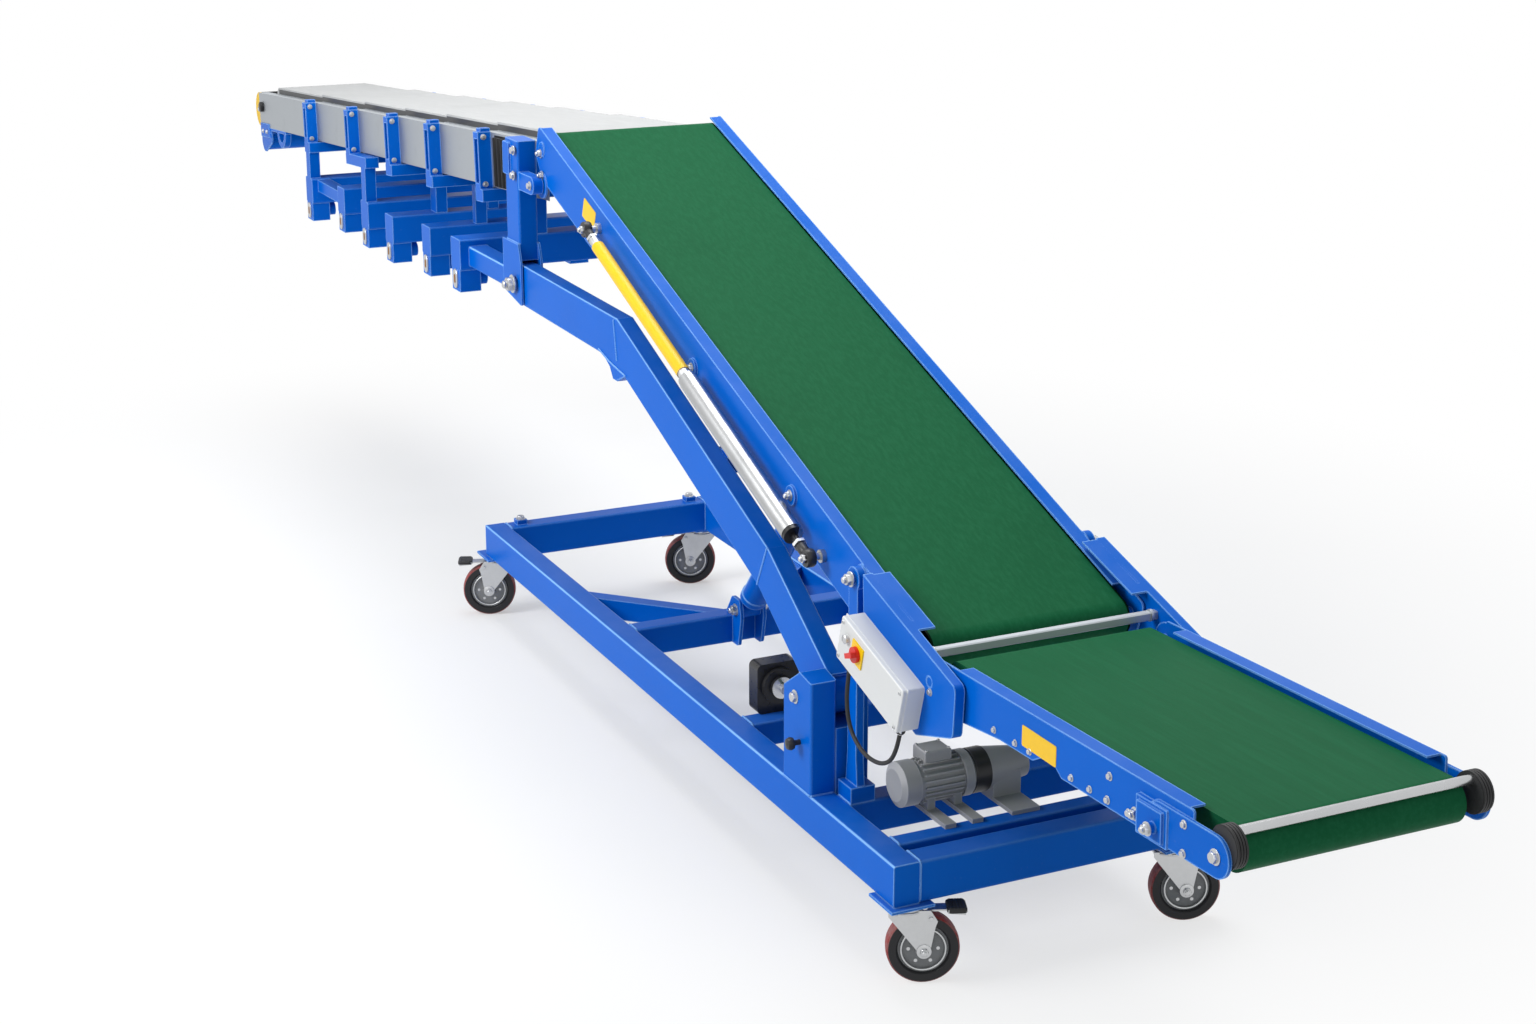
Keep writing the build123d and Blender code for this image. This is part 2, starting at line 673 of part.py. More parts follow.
def ball_eye(at):
    """Round eye of the strut on its stud, which reaches to the web of the incline."""
    with Locations((0, 0, at)):
        Cylinder(24, 24, rotation=(0, 90, 0))
        Cylinder(13, 34, rotation=(0, 90, 0))
    with Locations((-strut_y - half_w - 24, 0, at)):
        Cylinder(11, 48, rotation=(0, 90, 0))
    with Locations((-strut_y - half_w - 7, 0, at)):
        Cylinder(19, 14, rotation=(0, 90, 0))


# Turned lengths of the strut: start, end and radius along its axis
a, b = barrel_span
c = strut_l
barrel_line = [(14, 60, 14), (58, a + 2, 11), (a, b, strut_r), (a + 14, b - 14, strut_r + 1.5)]
rod_line = [(b, b + 36, 19), (b + 34, c - 112, 22), (c - 114, c - 68, 17), (c - 70, c - 14, 11)]
for name, lengths, at in (("strut_barrel", barrel_line, 0), ("strut_rod", rod_line, c)):
    with BuildPart(strut_dir) as strut:
        for start, end, r in lengths:
            with Locations((0, 0, (start + end) / 2)):
                Cylinder(r, end - start)
        ball_eye(at)
    save(strut, name)

# Infeed conveyor. Local X runs to the nose, local Z stands square to the belt.
deck = Plane(
    origin=(tail_pin[0], 0, tail_pin[1]),
    x_dir=(cos(radians(infeed_deg)), 0, sin(radians(infeed_deg))),
    z_dir=(-sin(radians(infeed_deg)), 0, cos(radians(infeed_deg))),
)
nose_z = tail_r - nose_r
lip_z = tail_r + 14
with BuildPart(deck) as infeed_belt:
    with BuildSketch(deck * Plane(origin=(0, infeed_belt_w / 2, 0), x_dir=(1, 0, 0), z_dir=(0, -1, 0))) as loop:
        Circle(tail_r)
        with Locations((deck_l, nose_z)):
            Circle(nose_r)
        make_hull()
    extrude(to_extrude=loop.sketch, amount=infeed_belt_w)
save(infeed_belt, "infeed_belt")
plate_out = 8
for name, sign in SIDES:
    with BuildPart(deck) as plate:
        web = side(sign, half_w - web_t, half_w)
        low = lip_z - infeed_h
        outline = [
            (0, low + 30),
            (0, lip_z),
            (deck_l - 70, lip_z),
            (deck_l - 70, low + 8),
            (deck_l - 140, low),
            (deck_l * 0.49, low),
            (deck_l * 0.46, low + 24),
            (deck_l * 0.42, low + 24),
            (deck_l * 0.38, low),
            (deck_l * 0.25, low),
            (70, low - 20),
        ]
        with BuildSketch(deck * Plane(origin=(0, web[1], 0), x_dir=(1, 0, 0), z_dir=(0, -1, 0))) as sheet:
            with BuildLine():
                Polyline(*outline, close=True)
            make_face()
            fillet(sheet.vertices(), 8)
            Circle(48)
        extrude(to_extrude=sheet.sketch, amount=web_t)
        block((90, deck_l - 90), side(sign, half_w - flange_w, half_w), (lip_z - flange_t, lip_z))
        cheek = side(sign, half_w - 1, half_w + plate_out)
        with BuildSketch(deck * Plane(origin=(0, cheek[1], 0), x_dir=(1, 0, 0), z_dir=(0, -1, 0))) as nose:
            for at in (deck_l - 190, deck_l + 20):
                with Locations((at, nose_z - 2)):
                    Circle(nose_r - 6)
            make_hull()
        extrude(to_extrude=nose.sketch, amount=plate_out + 1)
        with Locations((deck_l - 215, sign * (half_w + plate_out + 5), -24)):
            Box(96, 12, 74)
        with Locations((deck_l - 215, sign * (half_w + plate_out - 2), -24)):
            Box(120, plate_out + 4, 92)
        rod(deck_l - 198, -30, side(sign, half_w + plate_out, half_w + plate_out + 26), 13)
        for at, off in ((0, 0), (deck_l, nose_z)):
            rod(at, off, side(sign, infeed_belt_w / 2, half_w - 1), shaft_r)
        rod(0, 0, side(sign, half_w - 1, cover_out - 1), pin_r - pin_fit)
    save(plate, f"infeed_side_{name}")
bumper_out = half_w - 1
bumper_in = bumper_out - bumper_w
with BuildPart(deck) as nose_bar:
    with Locations((deck_l + 41, 0, tail_r + 2)):
        Cylinder(bar_r, 2 * bumper_in, rotation=(90, 0, 0))
save(nose_bar, "nose_bar")
for name, sign in SIDES:
    with BuildPart(deck) as bumper:
        rod(deck_l + bumper_ahead, bumper_up, side(sign, bumper_in, bumper_out), bumper_r - 4)
        ribs = 4
        step = bumper_w / ribs
        for i in range(ribs):
            start = bumper_in + step * i + 1
            rod(deck_l + bumper_ahead, bumper_up, side(sign, start, start + step - 2), bumper_r)
        rod(deck_l, nose_z, side(sign, bumper_in - 1, bumper_out + 1), shaft_r + 0.3, mode=Mode.SUBTRACT)
    save(bumper, f"nose_bumper_{name}")

# Boom. Local X runs back to the head of the incline, local Z stands square to the belt.
boom = Plane(
    origin=(boom_start[0], 0, boom_start[1]),
    x_dir=(cos(radians(boom_deg)), 0, sin(radians(boom_deg))),
    z_dir=(-sin(radians(boom_deg)), 0, cos(radians(boom_deg))),
)
skin = sheet_t + boom_belt_t
step_down = skin + slide_gap
step_in = sheet_t + slide_gap
bracket_w = 55
bracket_d = 52
tie_h = 48
tie_w = 90
tie_gap = 6
tie_low = -boom_low - tie_gap - tie_h
skid_w = 60
beam_w = 110
beam_h = 120
house_h = 85
house_y = 84
tan_b = tan(radians(boom_deg))
cos_b = cos(radians(boom_deg))


def boom_x(d):
    """World X of a station on the belt line of the boom."""
    return boom_start[0] - d * cos_b


def boom_z(x, n):
    """Height above the floor at world X of a line n above the belt line."""
    return boom_start[1] - (boom_start[0] - x) * tan_b + n / cos_b


def tilted(x, y, n, mode=Mode.ADD):
    """Block in the boom's frame, X measured from its start towards the tip."""
    at = Location(((-x[0] - x[1]) / 2, (y[0] + y[1]) / 2, (n[0] + n[1]) / 2))
    with Locations(boom.location * at):
        Box(x[1] - x[0], y[1] - y[0], n[1] - n[0], mode=mode)


def level(k):
    """Belt top, half width of the walls and half width of the tray of section k."""
    return -step_down * k, boom_half - step_in * k, boom_half - tray_in - step_in * k


def section_profile(k):
    """Thin folded sheet of section k: walls, shoulders and raised tray, in Y and Z of the boom."""
    top, half, tray = level(k)
    tray_top = top - boom_belt_t
    ledge = top - tray_rise
    t = sheet_t
    outer = [(half, -boom_low), (half, ledge), (tray, ledge), (tray, tray_top)]
    inner = [(tray - t, tray_top - t), (tray - t, ledge - t), (half - t, ledge - t), (half - t, -boom_low)]
    return outer + [(-y, z) for y, z in outer[::-1]] + [(-y, z) for y, z in inner[::-1]] + inner


def bracket_pair(k, mouth):
    """Two upright channels and the tie below that frame the mouth of section k."""
    top, half, tray = level(k)
    high = top - tray_rise + 16
    for sign in (-1, 1):
        tilted((mouth - bracket_w, mouth), side(sign, half, half + bracket_d), (-boom_low - tie_gap - 9, high - 14))
        tilted((mouth - bracket_w + 6, mouth - 6), side(sign, half, half + bracket_d - 12), (high - 15, high))
        tilted((mouth - bracket_w + 9, mouth - 9), side(sign, half + 18, half + bracket_d + 1), (-boom_low + 16, high - 40), mode=Mode.SUBTRACT)
    tilted((mouth - tie_w + 10, mouth + 4), (-half - bracket_d, half + bracket_d), (tie_low, -boom_low - tie_gap))


def carriage(k, tie_x, beam_x, drop, reach, inset):
    """Skids, posts and cross beam that hang below the mouth of a section."""
    top, half, tray = level(k)
    flush = half + bracket_d
    beam_top = boom_z(beam_x, 0) - drop
    post = (beam_x + 25, beam_x + 85)
    if inset:
        post = (max(beam_x + 5, tie_x - 2), min(beam_x + beam_w - 5, tie_x + 76))
    span = (min(tie_x, post[0]), max(tie_x + 60, post[1]))
    for sign in (-1, 1):
        y = side(sign, flush - skid_w, flush)
        if span[1] - span[0] > 100 and not inset:
            d0 = (boom_start[0] - span[1]) / cos_b
            d1 = (boom_start[0] - span[0]) / cos_b
            tilted((d0, d1), y, (tie_low, -boom_low - tie_gap))
        block(post, side(sign, flush - inset - 50, flush - inset), (beam_top - 1, boom_z(post[0], tie_low + 8)))
    cross_beam(beam_x, beam_top, max(flush, reach))


def cross_beam(x, top, reach):
    """Box beam across the machine with a roller housing under each end."""
    with BuildPart(mode=Mode.PRIVATE) as beam:
        block((x, x + beam_w), (-reach, reach), (top - beam_h, top))
        fillet(beam.edges().filter_by(Axis.Y), tube_r)
        for sign in (-1, 1):
            ends = side(sign, reach - house_y, reach)
            block((x + 8, x + beam_w - 8), ends, (top - beam_h - house_h, top - beam_h + 10))
    add(beam.part)
    for sign in (-1, 1):
        mid = top - beam_h - house_h * 0.45
        for off in (-14, 14):
            rod(x + beam_w / 2, mid + off, side(sign, reach - 1, reach + 5), 22)
        block((x + beam_w / 2 - 22, x + beam_w / 2 + 22), side(sign, reach - 1, reach + 5), (mid - 14, mid + 14))
        rod(x + beam_w / 2, mid, side(sign, reach - house_y - 34, reach - house_y + 1), 30)


# Stages of the boom: mouth and rear end along the boom, cross beam place from the mouth and its drop
stages = [
    dict(name="boom_base", mouth=672, rear=0, beam=-43, drop=431, inset=220),
    dict(name="boom_stage_1", mouth=1319, rear=60, beam=-70, drop=457, inset=200),
    dict(name="boom_stage_2", mouth=1907, rear=75, beam=-27, drop=464, inset=200),
    dict(name="boom_stage_3", mouth=2551, rear=90, beam=225, drop=441, inset=0),
    dict(name="boom_stage_4", mouth=3298, rear=105, beam=6, drop=413, inset=0),
    dict(name="boom_stage_5", mouth=tip_ahead, rear=120, beam=None, drop=None, inset=0),
]
second_beam = 567
beam_six_out = 440

# Posts on the arms' ends, side beams and the rearmost cross beam
post_w = 72
cheek_t = 8
hx, hz = arm_head
px, pz = head_pin
boom_post_x = (hx - 100, hx + 33)
post_high = boom_z(boom_post_x[1], -24)
post_in = arm_in - 7
post_out = post_in + post_w
cheek_in = arm_in - fork_gap - cheek_t
cheek_out = arm_outer + fork_gap + cheek_t
with BuildPart() as boom_frame:
    base = stages[0]
    six_x = boom_x(base["mouth"]) + base["beam"]
    for sign in (-1, 1):
        y = side(sign, post_in, post_out)
        with BuildPart(mode=Mode.PRIVATE) as post:
            block(boom_post_x, y, (hz + 96, post_high))
            fillet(post.edges().filter_by(Axis.Z), tube_r)
        add(post.part)
        cheek = [(hx - 128, hz - 40), (hx + 60, hz - 74), (hx + 60, hz + 80), (hx + 36, hz + 150), (hx - 128, hz + 150)]
        for at in (cheek_in, cheek_out - cheek_t):
            slab(cheek, side(sign, at, at + cheek_t), soften=8)
        block((hx - 128, boom_post_x[1]), side(sign, cheek_in, cheek_out), (hz + 88, hz + 150))
        with BuildPart(mode=Mode.PRIVATE) as beam_side:
            block((six_x + 20, hx - arm_h / 2 - 12), side(sign, cheek_in + 4, cheek_out - 4), (hz - 36, hz + 42))
            fillet(beam_side.edges().filter_by(Axis.X), tube_r)
        add(beam_side.part)
        block((hx - 128, hx - arm_h / 2 - 12), side(sign, cheek_in, cheek_out), (hz - 36, hz + 150))
        rod(hx, hz, side(sign, cheek_in - 4, cheek_out + 10), pin_r - pin_fit)
        ear = side(sign, half_w + 8, half_w + 46)
        rod(px, pz, ear, 32)
        block((boom_post_x[1] - 8, px), ear, (pz - 32, pz + 32))
        rod(px, pz, side(sign, half_w, half_w + 50), pin_r, mode=Mode.SUBTRACT)
        block(boom_post_x, side(sign, boom_half, post_in + 1), (pz - 22, pz + 88))
        top_plate = [
            (boom_post_x[0] - 4, pz + 12), (boom_post_x[0] - 4, post_high - 12), (boom_post_x[0] + 60, post_high - 12),
            (boom_post_x[0] + 60, pz + 12),
        ]
        slab(top_plate, side(sign, post_out - 1, post_out + 8), soften=8)
    bracket_pair(0, base["mouth"])
    carriage(0, boom_x(base["mouth"]), six_x, base["drop"], beam_six_out, base["inset"])
save(boom_frame, "boom_frame")

pad_l = 80
for k, stage in enumerate(stages):
    name, mouth, rear = stage["name"], stage["mouth"], stage["rear"]
    top, half, tray = level(k)
    last = k == len(stages) - 1
    end = mouth
    with BuildPart() as section:
        with BuildSketch(boom * Plane(origin=(-end, 0, 0), x_dir=(0, 1, 0), z_dir=(1, 0, 0))) as fold_line:
            with BuildLine():
                Polyline(*section_profile(k), close=True)
            make_face()
        extrude(to_extrude=fold_line.sketch, amount=end - rear)
        if last:
            cut_from = end - tip_belt_back - tip_roller_r - 4
            tilted((cut_from, end + 1), (-tray - 1, tray + 1), (top - tray_rise - sheet_t - 1, top + 1), mode=Mode.SUBTRACT)
        for sign in (-1, 1):
            if k > 0:
                wall = side(sign, half - 1, half + slide_gap - glide_fit)
                tilted((rear, rear + pad_l), wall, (-boom_low + 60, -boom_low + 120))
            if not last:
                inner_wall = half - sheet_t
                foot = side(sign, inner_wall - slide_gap - sheet_t - 8, inner_wall + 1)
                tilted((mouth - 40, mouth - 4), foot, (-boom_low - tie_gap, -boom_low - glide_fit))
                tilted((mouth - 40, mouth - 4), side(sign, inner_wall, half), (-boom_low - tie_gap, -boom_low))
    save(section, f"{name}_section")
    with BuildPart() as belt:
        belt_end = end - tip_belt_back if last else end
        tilted((rear, belt_end), (-tray, tray), (top - boom_belt_t, top))
        if last:
            with Locations(boom.location * Location((-belt_end, 0, top - tip_roller_r))):
                Cylinder(tip_roller_r, 2 * tray, rotation=(90, 0, 0))
                Cylinder(10, 2 * (half - sheet_t), rotation=(90, 0, 0))
    save(belt, f"{name}_belt")
    if 0 < k < len(stages) - 1:
        with BuildPart() as frame:
            bracket_pair(k, mouth)
            carriage(k, boom_x(mouth), boom_x(mouth) + stage["beam"], stage["drop"], 0, stage["inset"])
            if k == 4:
                x1 = boom_x(mouth) + stage["beam"]
                x2 = boom_x(mouth) + second_beam
                z1 = boom_z(x1, 0) - stage["drop"]
                flush = half + bracket_d
                cross_beam(x2, z1 + 38, flush)
                for sign in (-1, 1):
                    block((x1 + beam_w - 20, x2 + 20), side(sign, flush - 90, flush - 30), (z1 - 62, z1 - 6))
        save(frame, f"{name}_frame")
    if last:
        tip_z = (top - tray_rise - boom_low) / 2
        with BuildPart() as tip:
            with BuildSketch(boom * Plane(origin=(0, half - sheet_t, 0), x_dir=(1, 0, 0), z_dir=(0, -1, 0))) as ring:
                with Locations((-end, tip_z)):
                    Circle(tip_r)
                    Circle(tip_r - 16, mode=Mode.SUBTRACT)
                    with Locations((tip_r, 0)):
                        Rectangle(2 * tip_r, 2 * tip_r + 2, mode=Mode.SUBTRACT)
            extrude(to_extrude=ring.sketch, amount=2 * (half - sheet_t))
            for sign in (-1, 1):
                with Locations(boom.location * Location((-end + 6, sign * (half - sheet_t - 5), tip_z))):
                    Cylinder(tip_r - 6, 10, rotation=(90, 0, 0))
            with Locations(boom.location * Location((-end + 6, 0, tip_z))):
                Cylinder(52, 2 * half - 20, rotation=(90, 0, 0))
        save(tip, "boom_tip")
        with BuildPart() as guard:
            drum = end + 20
            low = -boom_low
            for sign in (-1, 1):
                with BuildSketch(boom * Plane(origin=(0, sign * (half - 6) + (6 if sign > 0 else 0), 0), x_dir=(1, 0, 0), z_dir=(0, -1, 0))) as cup:
                    for at, r in ((-drum + 90, 62), (-drum + 200, 40)):
                        with Locations((at, low - r - 4)):
                            Circle(r)
                    make_hull()
                extrude(to_extrude=cup.sketch, amount=6)
                tilted((drum - 210, drum - 40), side(sign, half - 1, half + 6), (low - 50, low - 1))
                tilted((drum - 210, drum - 40), side(sign, half, half + 6), (low - 2, low + 20))
                with BuildSketch(boom * Plane(origin=(0, sign * (half - 15) + 15, 0), x_dir=(1, 0, 0), z_dir=(0, -1, 0))) as hook:
                    with Locations((-drum + 440, low - 2)):
                        Circle(84)
                        Circle(58, mode=Mode.SUBTRACT)
                        with Locations((0, 60)):
                            Rectangle(200, 120, mode=Mode.SUBTRACT)
                extrude(to_extrude=hook.sketch, amount=30)
                tilted((drum - 530, drum - 180), side(sign, half - 30, half), (low - 14, low))
            with Locations(boom.location * Location((-drum + 90, 0, low - 66))):
                Cylinder(54, 2 * half - 4, rotation=(90, 0, 0))
        save(guard, "boom_stage_5_frame")
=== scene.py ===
# %% [markdown]
# # Truck loading conveyor
# A wheeled loader: a level infeed belt, a steep green belt, and a telescopic boom with a pale belt
# on bent lifting arms. The shapes that matter are CAD solids, which are loaded here. This script
# gives them their finishes and adds what is too small for CAD, such as bolts, screws, weld beads
# and labels. It runs cell by cell, and each cell prints what it made or measured.

# %% Frame and units
import json
import math
import bpy
import numpy as np
from mathutils import Matrix, Vector


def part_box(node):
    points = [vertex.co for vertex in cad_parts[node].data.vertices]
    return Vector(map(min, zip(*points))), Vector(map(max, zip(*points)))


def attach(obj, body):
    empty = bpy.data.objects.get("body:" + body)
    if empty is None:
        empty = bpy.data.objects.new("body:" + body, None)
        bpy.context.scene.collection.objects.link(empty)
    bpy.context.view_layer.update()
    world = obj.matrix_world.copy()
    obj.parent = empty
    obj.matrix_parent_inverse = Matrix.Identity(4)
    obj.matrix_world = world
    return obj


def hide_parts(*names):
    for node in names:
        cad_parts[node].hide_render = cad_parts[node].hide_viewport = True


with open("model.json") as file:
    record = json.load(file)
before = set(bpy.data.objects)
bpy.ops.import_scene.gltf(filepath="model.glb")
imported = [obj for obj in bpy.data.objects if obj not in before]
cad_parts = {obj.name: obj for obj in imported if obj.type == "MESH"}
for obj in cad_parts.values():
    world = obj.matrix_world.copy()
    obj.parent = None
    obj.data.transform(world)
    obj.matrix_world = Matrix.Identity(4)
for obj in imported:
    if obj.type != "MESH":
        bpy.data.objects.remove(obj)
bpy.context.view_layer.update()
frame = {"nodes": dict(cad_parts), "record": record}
NODES = frame["nodes"]
# The drawing measures X in millimetres from the front face of the chassis.
X0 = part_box("crossbar_front")[1][0]


def mm(x, y, z):
    """Point in metres of the frame: millimetres over 1000, with x moved to the chassis front."""
    return (X0 + x / 1000, y / 1000, z / 1000)


print(len(NODES), "solids, chassis front at x =", round(X0, 4))

# %% [markdown]
# ## Camera
# The photograph looks down the machine from its front left corner, about 25 degrees off its side
# and 15 degrees down, with a short telephoto lens. A camera can be turned by eye until it fits.
# Here its place, angles and focal length come from a fit to the straight edges of the chassis and
# the belts, because then each piece lies on its own pixels and can be compared there.

# %% Camera
FOCAL_PX, PHOTO_W = 2400, 1536
SENSOR = 36.0
LOOK_DOWN, LOOK_ROUND = 14.958, 64.6504


def make_camera():
    """Camera of the photograph: lens = focal length in pixels / picture width x sensor width."""
    data = bpy.data.cameras.new("camera")
    data.sensor_width = SENSOR
    data.lens = FOCAL_PX / PHOTO_W * SENSOR
    data.shift_x = 0.0024
    data.shift_y = -0.0636
    data.clip_end = 100.0
    cam = bpy.data.objects.new("camera", data)
    cam.location = mm(5057.8, -3251.3, 3124.0)
    cam.rotation_euler = (math.radians(90 - LOOK_DOWN), 0.0, math.radians(LOOK_ROUND))
    bpy.context.collection.objects.link(cam)
    bpy.context.scene.camera = cam
    return cam


cam = make_camera()
print("camera lens", cam.data.lens, "mm at", [round(v, 3) for v in cam.location])

# %% [markdown]
# ## Shader maths
# A finish is a formula: how dusty, how worn and how rough each point of the surface is. It can be
# wired by hand in the node editor, one Math node for each sum. Here a small class wraps a socket
# and overloads the operators, because a material then reads like the formula that it is.

# %% Shader maths
class Wire:
    """One output of a node, with maths: 1 - wire * 2 makes the Math nodes for that sum."""

    def __init__(self, tree, socket):
        self.tree = tree
        self.socket = socket

    def math(self, op, other):
        """This wire and another value through a Math node."""
        return self.tree.math(op, self, other)

    def __add__(self, other):
        return self.tree.math("ADD", self, other)

    def __radd__(self, other):
        return self.tree.math("ADD", other, self)

    def __sub__(self, other):
        return self.tree.math("SUBTRACT", self, other)

    def __rsub__(self, other):
        return self.tree.math("SUBTRACT", other, self)

    def __mul__(self, other):
        return self.tree.math("MULTIPLY", self, other)

    def __rmul__(self, other):
        return self.tree.math("MULTIPLY", other, self)

    def step(self, low, high):
        """0 below low, 1 above high and a smooth rise between them."""
        sockets = {"Value": self, "From Min": low, "From Max": high}
        return self.tree.node("ShaderNodeMapRange", sockets, interpolation_type="SMOOTHSTEP")


class Tree:
    """The node tree of a material or a world, emptied and filled again by node()."""

    def __init__(self, owner):
        owner.use_nodes = True
        self.nodes = owner.node_tree.nodes
        self.links = owner.node_tree.links
        self.nodes.clear()

    def plug(self, value, target):
        """Links a wire to a socket, or sets a constant on it; three numbers fill a colour."""
        if isinstance(value, Wire):
            self.links.new(value.socket, target)
        elif isinstance(value, tuple) and len(target.default_value) == 4:
            target.default_value = value + (1.0,)
        else:
            target.default_value = value

    def node(self, kind, sockets=None, out=0, **settings):
        """Any node: its settings first, then its sockets by name or number, and one output."""
        node = self.nodes.new(kind)
        for key, value in settings.items():
            setattr(node, key, value)
        for key, value in (sockets or {}).items():
            self.plug(value, node.inputs[key])
        return Wire(self, node.outputs[out]) if node.outputs else None

    def math(self, op, a, b):
        """A Math node on two numbers or wires."""
        return self.node("ShaderNodeMath", {0: a, 1: b}, operation=op)

    def vector(self, op, a, b, out="Value"):
        """A Vector Math node on two points or directions."""
        return self.node("ShaderNodeVectorMath", {0: a, 1: b}, out, operation=op)

    def seen(self):
        """1 for rays from the camera, a mirror or glass: the sum of the three, but at most 1."""
        rays = ("Is Camera Ray", "Is Glossy Ray", "Is Transmission Ray")
        camera, glossy, glass = (self.node("ShaderNodeLightPath", out=ray) for ray in rays)
        return (camera + glossy + glass).math("MINIMUM", 1.0)


print("maths for sockets:", [name for name in vars(Wire) if not name.endswith("init__")])

# %% [markdown]
# ## Tools of a material
# Every finish needs the place on the object, noise, the way the surface faces and a blend of two
# colours. Corners that catch the light could come from a Bevel modifier, but the CAD meshes are
# loose triangles, which it would pull apart. So a Bevel node rounds only the shading, and the angle
# between its normal and the real one shows where a corner is, which gets a painted highlight.

# %% Tools of a material
class Paint(Tree):
    """A material under construction, in object coordinates."""

    def __init__(self, name):
        self.material = bpy.data.materials.new(name)
        super().__init__(self.material)
        self.place = self.node("ShaderNodeTexCoord", out="Object")

    def noise(self, scale, detail=3.0, rough=0.5, stretch=(1, 1, 1), seed=0.0):
        """Fractal noise from 0 to 1; a stretch over 1 makes the grain finer along that axis."""
        spot = {"Vector": self.place, "Scale": stretch, "Location": (seed, seed * 2, 0)}
        grain = {"Vector": self.node("ShaderNodeMapping", spot), "Scale": scale}
        grain.update({"Detail": detail, "Roughness": rough})
        return self.node("ShaderNodeTexNoise", grain)

    def axis(self, i):
        """One coordinate of the place, in metres."""
        return self.node("ShaderNodeSeparateXYZ", {"Vector": self.place}, i)

    def normal(self):
        """The way the real surface faces."""
        return self.node("ShaderNodeNewGeometry", out="Normal")

    def facing(self, i):
        """One part of the surface's direction, from -1 to 1."""
        return self.node("ShaderNodeSeparateXYZ", {"Vector": self.normal()}, i)

    def corner(self, radius):
        """Nearness of a sharp corner: 1 - rounded normal . real normal, from 0.004 to 0.05."""
        rounded = self.node("ShaderNodeBevel", {"Radius": radius}, samples=4)
        return (1 - self.vector("DOT_PRODUCT", rounded, self.normal())).step(0.004, 0.05)

    def shoulder(self):
        """Rounded upper edges of tubes, for a painted highlight: faces that look both up and to a
        side.
        """
        across = self.facing(1)
        across = across * across
        leans = across.step(0.10, 0.25) * (1 - across.step(0.80, 0.93))
        return leans * self.facing(2).step(0.05, 0.3)

    def blend(self, amount, a, b):
        """Colour a where amount is 0, and b where it is 1."""
        return self.node("ShaderNodeMix", {0: amount, 6: a, 7: b}, 2, data_type="RGBA")

    def bump(self, height, distance=0.001, strength=1.0):
        """Normal of a surface raised by height times distance."""
        sockets = {"Height": height, "Distance": distance, "Strength": strength}
        return self.node("ShaderNodeBump", sockets)

    def shade(self, color, rough, normal, metal=0.0, spec=0.3):
        """Principled shader with these results."""
        sockets = {"Base Color": color, "Roughness": rough, "Normal": normal, "Metallic": metal}
        return self.node("ShaderNodeBsdfPrincipled", {**sockets, "Specular IOR Level": spec})

    def output(self, shader):
        """Ends the material with a shader and returns it."""
        self.node("ShaderNodeOutputMaterial", {"Surface": shader})
        return self.material

    def finish(self, *results, **more):
        """The material made of one Principled shader."""
        return self.output(self.shade(*results, **more))


def times(color, k):
    """A colour k times as bright, each part at most 1."""
    return tuple(min(1.0, c * k) for c in color)


print("tools of a material:", [name for name in vars(Paint) if not name.startswith("_")])

# %% [markdown]
# ## Powder coat
# The frame is sprayed blue, and the motor and the control box grey. Such a coat has a fine orange
# peel, dust on what faces up and a few scuffs. A painted highlight pales the corners and the
# rounded upper edges of tubes, where light from above would catch them. A painted image could show
# all this, but noise in object space needs no unwrapping and never repeats. Its reflection is kept
# low, because a pale room would wash the blue out.

# %% Powder coat
SCUFF, DUST = (0.45, 0.47, 0.5), (0.55, 0.55, 0.54)
EDGE_R = 0.006


def enamel(name, color, edge_highlight=None, peel=900.0, dust=0.05, rough=0.26, spec=0.05):
    """Glossy coat: cloudy tone, then scuffs, dust and painted highlights on corners, on an orange
    peel.

    Its roughness is rough + 0.4 film of dust + 0.1 scuffs + 0.06 cloud.
    """
    p = Paint(name)
    cloud = p.noise(3.0, 4.0, 0.6)
    spots = p.noise(60.0, 5.0, 0.7, seed=3.0).step(0.62, 0.74)
    film = p.facing(2).step(0.5, 1.0) * cloud.step(0.3, 0.7) * dust
    tone = p.blend(cloud, times(color, 0.92), times(color, 1.08))
    tone = p.blend(spots * 0.06, tone, SCUFF)
    tone = p.blend(film, tone, DUST)
    if edge_highlight:
        # Painted highlight: corners and upper tube edges are blended towards a paler colour.
        light = p.corner(EDGE_R).math("MAXIMUM", p.shoulder()) * (0.4 + 0.4 * cloud)
        tone = p.blend(light, tone, edge_highlight)
    rough = rough + film * 0.4 + spots * 0.1 + cloud * 0.06
    return p.finish(tone, rough, p.bump(p.noise(peel, 2.0, 0.5), 0.00012, 0.6), spec=spec)


# The pale colours here are painted highlights for corners and upper tube edges.
FINISH = {
    "blue": enamel("blue_paint", (0.0, 0.112, 0.55), edge_highlight=(0.34, 0.64, 1.0)),
    "motor": enamel("motor_grey", (0.33, 0.335, 0.34), edge_highlight=(0.5, 0.5, 0.51), peel=400.0,
                    rough=0.4, spec=0.3),
    "box": enamel("box_grey", (0.62, 0.63, 0.63), edge_highlight=(0.85, 0.85, 0.85), peel=260.0,
                  dust=0.1, rough=0.45),
    "yellow": enamel("yellow", (0.80, 0.50, 0.0), dust=0.1),
}
print("coats:", list(FINISH))

# %% [markdown]
# ## Belts
# The belts are woven fabric with a smooth cover, green on the ramp and pale grey on the boom.
# Boxes leave long streaks on them, so the noise is drawn out along the run. The belt's edge is
# painted almost black, as painted shade of the gap beside the frame. It could be a strip of its
# own. A step on the distance from the middle draws it instead, because it then follows the solid
# exactly.

# %% Belts
ALONG_RUN = (0.35, 9, 9)


